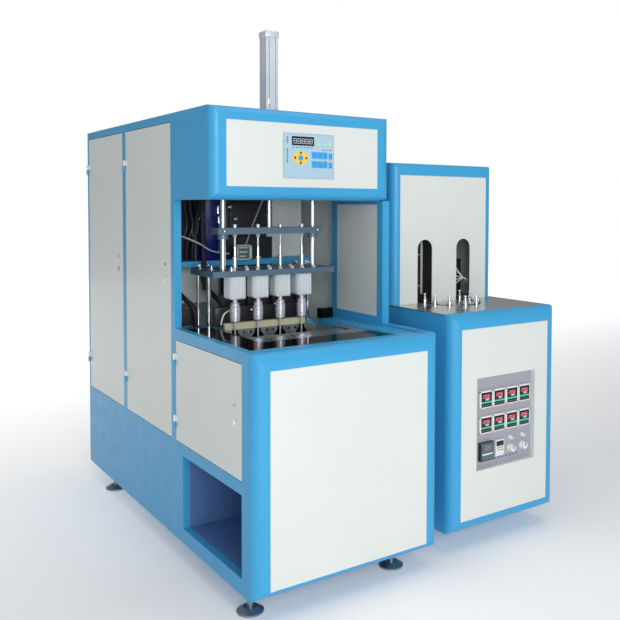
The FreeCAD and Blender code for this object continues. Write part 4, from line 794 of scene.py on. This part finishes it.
def stretch_plate_details():
    """A washer round each stretch rod, and two screws in the plate's front."""
    low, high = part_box("stretch_plate")
    bm = bmesh.new()
    for rod_low, rod_high in solids_of("stretch_rods"):
        x, y = (rod_low.x + rod_high.x) / 2, (rod_low.y + rod_high.y) / 2
        turned(bm, (x, y, high.z + 0.0002),
               [(0.0042, 0.0), (0.0115, 0.0), (0.0115, 0.0018), (0.0042, 0.0018)], hollow=True)
    piece("stretch_rod_washers", bm, "chrome", "stretch_unit")
    spots = [(x, low.y, high.z - 0.014) for x in (low.x + 0.03, high.x - 0.03)]
    fasteners("stretch_plate_screws", spots, 0.0045, 0.002, "front", "chrome", "chrome", body="stretch_unit")


def mould_details():
    """Screws in the fixed half, and the pale end of the neck bar."""
    low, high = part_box("fixed_mould_half")
    spots = []
    for x in (low.x + 0.024, high.x - 0.024):
        spots.append((x, low.y, high.z - 0.036))
    for step in (1, 2, 3):
        x = low.x + 0.071 + 0.11 * (step - 0.5)
        spots.append((x - 0.012, low.y, high.z - 0.012))
        spots.append((x + 0.020, low.y, high.z - 0.012))
    fasteners("mould_screws", spots, 0.006, 0.0005, "front", "chrome", "chrome")
    bar_low, bar_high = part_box("neck_bar")
    bm = bmesh.new()
    block(bm, (bar_low.x - 0.0015, bar_low.y + 0.002, bar_low.z + 0.002),
          (bar_low.x, bar_high.y - 0.002, bar_high.z - 0.002), 0.0004)
    piece("neck_bar_end", bm, "white_tube")


def air_manifold():
    """The manifold behind the mould, with its valves, fittings, hose and tubes."""
    low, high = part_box("fixed_mould_half")
    bar_low, bar_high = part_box("neck_bar")
    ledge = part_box("black_table_strip")[1].z
    bm = bmesh.new()
    block(bm, (low.x + 0.03, high.y + 0.012, ledge - 0.008),
          (high.x - 0.02, high.y + 0.045, ledge + 0.08), 0.004)
    for step in range(7):
        x = low.x + 0.06 + step * 0.062
        block(bm, (x, high.y + 0.004, ledge + 0.082), (x + 0.045, high.y + 0.05, ledge + 0.135), 0.004)
    for step in range(6):
        x = low.x + 0.10 + step * 0.062
        turned(bm, (x, high.y + 0.03, ledge + 0.13),
               [(0.014, 0), (0.014, 0.02), (0.009, 0.026), (0.009, 0.05)], sides=16)
    rail_low, rail_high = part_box("cross_shelf")
    block(bm, (rail_low.x + 0.008, rail_low.y - 0.05, ledge - 0.004),
          (low.x - 0.012, rail_high.y, ledge + 0.07), 0.004)
    piece("air_manifold", bm, "charcoal")
    bm = bmesh.new()
    for step, drop in ((0, 0.05), (0.115, 0.052), (0.10, 0.03), (0.22, 0.05), (0.235, 0.024), (0.36, 0.045)):
        turned(bm, (low.x + 0.10 + step, high.y + 0.012, ledge + 0.03 + drop),
               [(0.006, 0), (0.006, 0.010), (0.0085, 0.011), (0.0085, 0.019), (0.004, 0.022)], "y", 12)
    piece("manifold_fittings", bm, "brass")
    start = Vector((bar_low.x + 0.040, bar_high.y + 0.012, ledge + 0.072))
    tubes("mould_water_hose", [([(0, 0, 0), (-0.025, -0.004, -0.006), (-0.045, -0.008, -0.026),
                                 (-0.052, -0.010, -0.062)], 0.0035)], "white_tube", start)
    bend = [(0, 0.03, 0.17), (0.01, 0.035, 0.20), (0.05, 0.04, 0.205), (0.07, 0.045, 0.17)]
    runs = [([(x + 0.09 + step * 0.08, y, z) for x, y, z in bend], 0.004) for step in range(5)]
    tubes("manifold_tubes", runs, "black_rubber", (low.x, high.y, ledge))


# how far below the roof the pale partition, the painted shade sheets and the hoses end
ROOF_GAP = 0.02


def partition_and_painted_shade():
    """Charcoal sheets and a box that paint the shade deep in the cabinet behind the blow station, and a pale
    partition.
    """
    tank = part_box("air_tank")[1].x
    shelf_low, shelf_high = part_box("cross_shelf")
    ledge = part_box("black_table_strip")[1].z
    left, back, shelf = shelf_low.x + 0.002, shelf_high.y, shelf_high.z
    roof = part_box("top_cover")[1].z - ROOF_GAP
    # charcoal sheets and a box that darken the back of the cabinet: painted shade
    boxes("dark_partition", [
        ((tank + 0.03, back + 0.002, shelf_low.z - 0.22), (tank + 0.30, back + 0.006, roof), 0.001),
        ((left, back + 0.002, shelf + 0.002), (tank + 0.03, back + 0.006, roof), 0.001),
        ((tank + 0.075, back - 0.010, shelf + 0.10), (tank + 0.235, back + 0.002, shelf + 0.27), 0.008)],
        "charcoal")
    boxes("grey_partition", [
        ((tank + 0.31, back + 0.006, ledge + 0.002), (shelf_high.x - 0.002, back + 0.010, roof), 0.001),
        ((left, back + 0.006, ledge + 0.075), (tank + 0.02, back + 0.010, shelf_low.z - 0.002), 0.001)],
        "cream_paint")


def air_tank():
    """The tank's shell with a seam, and the fittings and gauges round it; heights are from the shelf."""
    low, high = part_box("air_tank")
    back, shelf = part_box("cross_shelf")[1].yz
    radius = (high.x - low.x) / 2
    foot = ((low.x + high.x) / 2, (low.y + high.y) / 2, 0)
    bm = bmesh.new()
    turned(bm, foot, [(radius - 0.006, low.z), (radius, low.z + 0.012), (radius, high.z - 0.045),
                      (radius * 0.86, high.z - 0.018), (radius * 0.5, high.z - 0.002), (0.001, high.z)],
           sides=48)
    seam = radius + 0.0012
    turned(bm, foot, [(radius, low.z + 0.05), (seam, low.z + 0.052), (seam, low.z + 0.056),
                      (radius, low.z + 0.058)], sides=48)
    piece("air_tank_shell", bm, "dark_blue_paint", replaced=("air_tank",))
    front = low.y - 0.002
    bm = bmesh.new()
    for x, height in ((low.x - 0.004, 0.214), (low.x + 0.019, 0.211), (high.x - 0.030, 0.243),
                      (high.x - 0.026, 0.199)):
        turned(bm, (x, front + 0.03, shelf + height),
               [(0.009, 0), (0.009, 0.014), (0.006, 0.016), (0.006, 0.030)], "y", 12)
        turned(bm, (x, front + 0.006, shelf + height - 0.004),
               [(0.0065, -0.026), (0.0085, -0.024), (0.0085, -0.012), (0.006, -0.010), (0.006, 0.008)],
               "z", 12)
    for x, height in ((high.x + 0.048, 0.246), (high.x + 0.077, 0.190)):
        turned(bm, (x, back - 0.06, shelf + height),
               [(0.006, -0.060), (0.006, 0.0), (0.010, 0.002), (0.010, 0.010), (0.005, 0.014)], "y", 12)
    for x, height in ((low.x - 0.022, 0.100), (low.x - 0.024, 0.073)):
        turned(bm, (x, front + 0.02, shelf + height),
               [(0.006, -0.010), (0.008, -0.008), (0.008, 0.008), (0.005, 0.010)], "z", 12)
    piece("tank_fittings", bm, "chrome")
    near, far = low.y - 0.010, low.y + 0.010
    boxes("tank_gauges", [
        ((high.x - 0.030, near, shelf + 0.142), (high.x - 0.016, far, shelf + 0.170), 0.002),
        ((high.x - 0.028, near, shelf + 0.032), (high.x - 0.018, far, shelf + 0.088), 0.002)],
        "key_blue")


def cabinet_tubes():
    """Grey air lines and black hoses between the shelf, the tank and the roof."""
    tank_low, tank_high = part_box("air_tank")
    shelf_low, shelf_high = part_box("cross_shelf")
    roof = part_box("top_cover")[1].z - ROOF_GAP - shelf_high.z
    end = tank_high.x - tank_low.x + 0.002
    left = shelf_low.x - tank_low.x
    start = (tank_low.x, tank_low.y, shelf_high.z)
    tubes("grey_tubes", [
        ([(-0.022, 0.018, 0.092), (-0.030, 0.010, 0.130), (-0.010, 0.002, 0.170), (-0.004, 0.004, 0.188)],
         0.003),
        ([(left + 0.05, -0.052, 0.122), (-0.022, -0.052, 0.086), (0.02, -0.052, 0.051),
          (0.075, -0.052, 0.038), (end, -0.047, 0.032)], 0.004)], "grey_tube", start)
    bend = [(0, 0.008, 0), (-0.01, -0.012, 0.08), (0.024, -0.022, 0.16), (0.01, 0.008, 0.26),
            (0.02, 0.018, roof - 0.05)]
    runs = [([(left + 0.035 + step * 0.026 + x, y, z) for x, y, z in bend], 0.0055) for step in range(5)]
    runs.append(([(0.00195, -0.02, roof - 0.02), (0.002, -0.022, 0.277), (0.004, -0.024, 0.130),
                  (0.009, -0.026, -0.017), (0.010, -0.028, -0.130)], 0.0105))
    tubes("black_tubes", runs, "black_rubber", start)


def valve_box():
    """A frame with three ribs round a dark recess, and the cable that leaves its top."""
    low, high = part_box("valve_box")
    x0, y, z0 = low
    x1, z1 = high.x, high.z
    wall = 0.006
    sides = ((x0, z1 - wall, x1, z1), (x0, z0, x1, z0 + wall), (x0, z0, x0 + wall, z1),
             (x1 - 2 * wall, z0, x1, z1))
    parts = [((left, y - 0.004, down), (right, y, up), 0.001) for left, down, right, up in sides]
    for step in range(3):
        z = z0 + 0.014 + step * 0.020
        parts.append(((x0 + 0.012, y - 0.004, z), (x1 - 0.030 + step * 0.006, y - 0.001, z + 0.007), 0.001))
    boxes("valve_box_frame", parts, "mint")
    boxes("valve_box_recess", [((x0 + 0.007, y - 0.0012, z0 + 0.007), (x1 - 0.013, y, z1 - 0.007), 0.0004)],
          "meter_slate")
    tubes("valve_cable", [([(0.056, 0.02, 0), (0.075, 0.022, 0.05), (0.11, 0.025, 0.13), (0.145, 0.03, 0.20),
                            (0.18, 0.03, 0.28)], 0.0035)], "grey_tube", (x0, y, z1))


# ---------------------------------------------------------------- oven unit

def controllers():
    """White cases with dark faces, red and green figures and a row of keys."""
    cases, faces, red, green, keys, pale = (bmesh.new() for _ in range(6))
    for low, high in solids_of("temperature_controllers"):
        wide, tall = high.x - low.x, high.z - low.z
        rim = 0.006
        front = low.y - 0.0015
        plate_face = high.y
        for a, b in (((low.x - 0.001, high.z - rim), (high.x + 0.001, high.z + 0.001)),
                     ((low.x - 0.001, low.z - 0.001), (high.x + 0.001, low.z + rim * 0.6)),
                     ((low.x - 0.001, low.z), (low.x + rim, high.z)),
                     ((high.x - rim * 0.5, low.z), (high.x + 0.001, high.z))):
            block(cases, (a[0], front, a[1]), (b[0], plate_face, b[1]), 0.0006)
        block(faces, (low.x + rim, low.y - 0.0008, low.z + rim * 0.6),
              (high.x - rim * 0.5, low.y, high.z - rim), 0.0002)
        face = low.y - 0.0008
        digits(red, "2056", low.x + wide * 0.22, high.z - tall * 0.40, wide * 0.58, tall * 0.17, face,
               0.0018)
        digits(pale, "185", low.x + wide * 0.34, high.z - tall * 0.55, wide * 0.40, tall * 0.09, face,
               0.0014)
        block(green, (low.x + rim, face - 0.0006, high.z - tall * 0.72),
              (high.x - rim * 0.5, face, high.z - tall * 0.63), 0.0002)
        for key in range(4):
            x = low.x + wide * (0.16 + key * 0.19)
            block(keys, (x, face - 0.0008, high.z - tall * 0.88),
                  (x + wide * 0.12, face, high.z - tall * 0.81), 0.0003)
    piece("controller_cases", cases, "white_plastic")
    piece("controller_faces", faces, "display_black")
    piece("controller_red_figures", red, "lit_red")
    piece("controller_pale_figures", pale, "lit_pale")
    piece("controller_green_bars", green, "lit_green")
    piece("controller_keys", keys, "meter_slate")


def meters():
    """The voltmeter's slate face and the counter's white one."""
    meter, counter = sorted(solids_of("meter_and_counter"), key=lambda pair: pair[0].x)
    low, high = meter
    boxes("meter_face", [((low.x + 0.006, low.y - 0.001, low.z + 0.004),
                          (high.x - 0.002, low.y, high.z - 0.002), 0.0004)], "meter_slate")
    boxes("meter_line", [((low.x + 0.010, low.y - 0.0018, low.z + 0.026),
                          (high.x - 0.008, low.y - 0.001, low.z + 0.032), 0.0002)],
          "white_plastic")
    bm = bmesh.new()
    digits(bm, "220", low.x + 0.022, high.z - 0.032, 0.040, 0.017, low.y - 0.001, 0.0020)
    piece("meter_figures", bm, "print_rose")
    low, high = counter
    boxes("counter_case", [((low.x - 0.001, low.y - 0.001, low.z - 0.001),
                            (high.x + 0.001, high.y, high.z + 0.001), 0.001)],
          "white_plastic")
    parts = [((low.x + 0.003, low.y - 0.002, high.z - 0.026),
              (high.x - 0.003, low.y - 0.001, high.z - 0.004), 0.0003)]
    for row in range(2):
        for column in range(4):
            x, z = low.x + 0.008 + column * 0.010, high.z - 0.036 - row * 0.010
            parts.append(((x, low.y - 0.002, z), (x + 0.006, low.y - 0.001, z + 0.004), 0.0002))
    boxes("counter_window", parts, "display_black")


def knobs():
    """Turned knobs with a dark pointer on the front and a dark patch on the right flank, each on its own
    spindle.
    """
    for size in ("large", "small"):
        for number in (1, 2):
            name = f"{size}_knob_{number}"
            low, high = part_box(name)
            middle = (low + high) / 2
            radius, deep = (high.x - low.x) / 2, high.y - low.y
            bm = bmesh.new()
            turned(bm, (middle.x, high.y, middle.z),
                   [(radius * 0.6, 0.009), (radius, 0.0095), (radius, deep * 0.42),
                    (radius * 0.86, deep * 0.48), (radius * 0.80, deep * 0.94), (radius * 0.70, deep)],
                   "y", 36)
            piece(name + "_grip", bm, "white_plastic", name, (name,))
            bm = bmesh.new()
            block(bm, (middle.x - radius * 0.16, low.y - 0.0008, middle.z - radius * 0.1),
                  (middle.x + radius * 0.16, low.y + 0.0004, middle.z + radius * 0.66), 0.0003)
            # a dark patch on the knob's right flank
            block(bm, (middle.x + radius * 0.62, low.y + deep * 0.1, middle.z - radius * 0.42),
                  (middle.x + radius * 0.86, low.y + deep * 0.52, middle.z + radius * 0.42), 0.0006)
            piece(name + "_pointer", bm, "display_black", name)


def control_plate_details():
    """Corner screws, and plain dashes where a caption would be; each dash is (left, right, height)."""
    low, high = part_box("control_plate")
    spots = [(x, low.y, z) for x in (low.x + 0.012, high.x - 0.012) for z in (low.z + 0.012, high.z - 0.012)]
    fasteners("control_plate_screws", spots, 0.0045, 0.0016, "front", "chrome", "chrome")
    dashes = ((0.035, 0.085, 0.133), (0.112, 0.162, 0.128), (0.035, 0.085, 0.243), (0.112, 0.162, 0.243),
              (0.190, 0.240, 0.243), (0.268, 0.318, 0.243), (0.190, 0.235, 0.138), (0.268, 0.312, 0.138),
              (0.045, 0.095, 0.020), (0.100, 0.150, 0.360))
    boxes("control_plate_rose_marks", [((low.x + left, low.y - 0.0004, low.z + up),
                                        (low.x + right, low.y, low.z + up + 0.004))
                                       for left, right, up in dashes], "print_rose")
    left = low.x + 0.13
    boxes("control_plate_dark_marks", [((left + mark * 0.022, low.y - 0.0004, low.z + 0.028),
                                        (left + mark * 0.022 + 0.012, low.y, low.z + 0.034))
                                       for mark in range(7)], "print_navy")


def oven_inside():
    """Screen and guard rod behind the left arch, a pale liner, and the white leads in the right arch."""
    lamp_low, lamp_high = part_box("lamp_bank")
    shell_low, shell_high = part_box("tower_shell")
    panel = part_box("tower_panel")[1].y
    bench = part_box("oven_table")[1].z
    foot = bench + 0.002
    boxes("oven_dark_screen", [
        ((lamp_low.x - 0.041, panel + 0.107, foot),
         (lamp_high.x - 0.020, panel + 0.110, bench + 0.42), 0.0005),
        ((lamp_high.x + 0.140, panel + 0.132, foot),
         (lamp_high.x + 0.172, panel + 0.136, bench + 0.19), 0.001)],
        "charcoal")
    boxes("oven_liner", [((shell_high.x - 0.009, shell_low.y + 0.004, foot),
                          (shell_high.x - 0.006, shell_high.y - 0.02, shell_high.z - 0.05), 0.0005)],
          "cream_paint")
    bm = bmesh.new()
    x, y = lamp_low.x - 0.046, panel + 0.052
    turned(bm, (x, y, bench), [(0.0045, 0.035), (0.0060, 0.038), (0.0060, 0.285), (0.0045, 0.288)], sides=16)
    for height in (0.075, 0.225):
        turned(bm, (x - 0.018, y, bench + height), [(0.003, 0), (0.003, 0.018)], "x", 10)
    piece("oven_guard_rod", bm, "grey_tube")
    lead = 0.0017
    leads = [([(-0.045, 0, rise), (-0.020, 0, rise * 0.42), (0, 0, 0)], lead)
             for rise in (0.053, 0.040, 0.010, -0.008, -0.026)]
    leads += [([(0, 0, 0), (0.018, 0, rise * 0.4), (0.042, 0.004, rise)], lead) for rise in (-0.012, -0.026)]
    tubes("oven_white_leads", leads, "white_tube",
          (lamp_high.x + 0.096, panel + 0.030, bench + 0.104))
    places = [((a.x + b.x) / 2, (a.y + b.y) / 2, b.z) for a, b in solids_of("spindles")]
    fasteners("spindle_caps", places, 0.0075, 0.004, "up", "white_anodised", "chrome", 16)
    low_places = [(x, y, bench + 0.001) for x, y, _ in places]
    fasteners("spindle_skirts", low_places, 0.013, 0.010, "up", "chrome", "chrome", 16)


# ---------------------------------------------------------------- doors, panels and the back

def door_details():
    """The face of each lock, and a black bar on it for the key slot: painted shade of the slot's opening."""
    for name in ("rear", "middle", "front"):
        low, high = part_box(name + "_door_lock")
        x, y, z = low.x, (low.y + high.y) / 2, high.z - 0.012
        bm = bmesh.new()
        turned(bm, (x - 0.0012, y, z), [(0.0065, 0), (0.0072, 0.0006), (0.0072, 0.0013)], "x", 24)
        piece(name + "_lock_face", bm, "chrome", name + "_lock")
        bm = bmesh.new()
        # a black bar on the lock face for the key slot: painted shade of the slot's opening
        block(bm, (x - 0.0018, y - 0.0012, z - 0.0045), (x - 0.0010, y + 0.0012, z + 0.0045), 0.0002)
        piece(name + "_lock_slot", bm, "display_black", name + "_lock")


def back_details():
    """Louvres and screws in the rear panel."""
    low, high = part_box("rear_panel")
    middle = (low.x + high.x) / 2
    for name, base in (("upper", high.z - 0.42), ("lower", low.z + 0.22)):
        grown(name + "_louvres", [(0, 0, 0)], LOUVRES, "cream_paint", "cream_paint", MACHINE, count=9,
              start=(middle, high.y + 0.003, base), pitch=(0, 0, 0.024), slat=(0.34, 0.002, 0.014),
              tilt=(math.radians(-25), 0, 0))
    spots = []
    for x in (low.x + 0.02, middle, high.x - 0.02):
        spots += [(x, high.y, z) for z in (low.z + 0.02, high.z - 0.02)]
    for x in (low.x + 0.02, high.x - 0.02):
        spots += [(x, high.y, low.z + (high.z - low.z) * share) for share in (0.33, 0.66)]
    fasteners("rear_panel_screws", spots, 0.0055, 0.002, "back", "zinc", "zinc")


camera()
studio()
finish_frame()
keypad()
stretch_cylinder()
seal_cylinders()
nozzle_sleeves()
seal_plate_details()
stretch_plate_details()
mould_details()
air_manifold()
partition_and_painted_shade()
air_tank()
cabinet_tubes()
valve_box()
controllers()
meters()
knobs()
control_plate_details()
oven_inside()
door_details()
back_details()
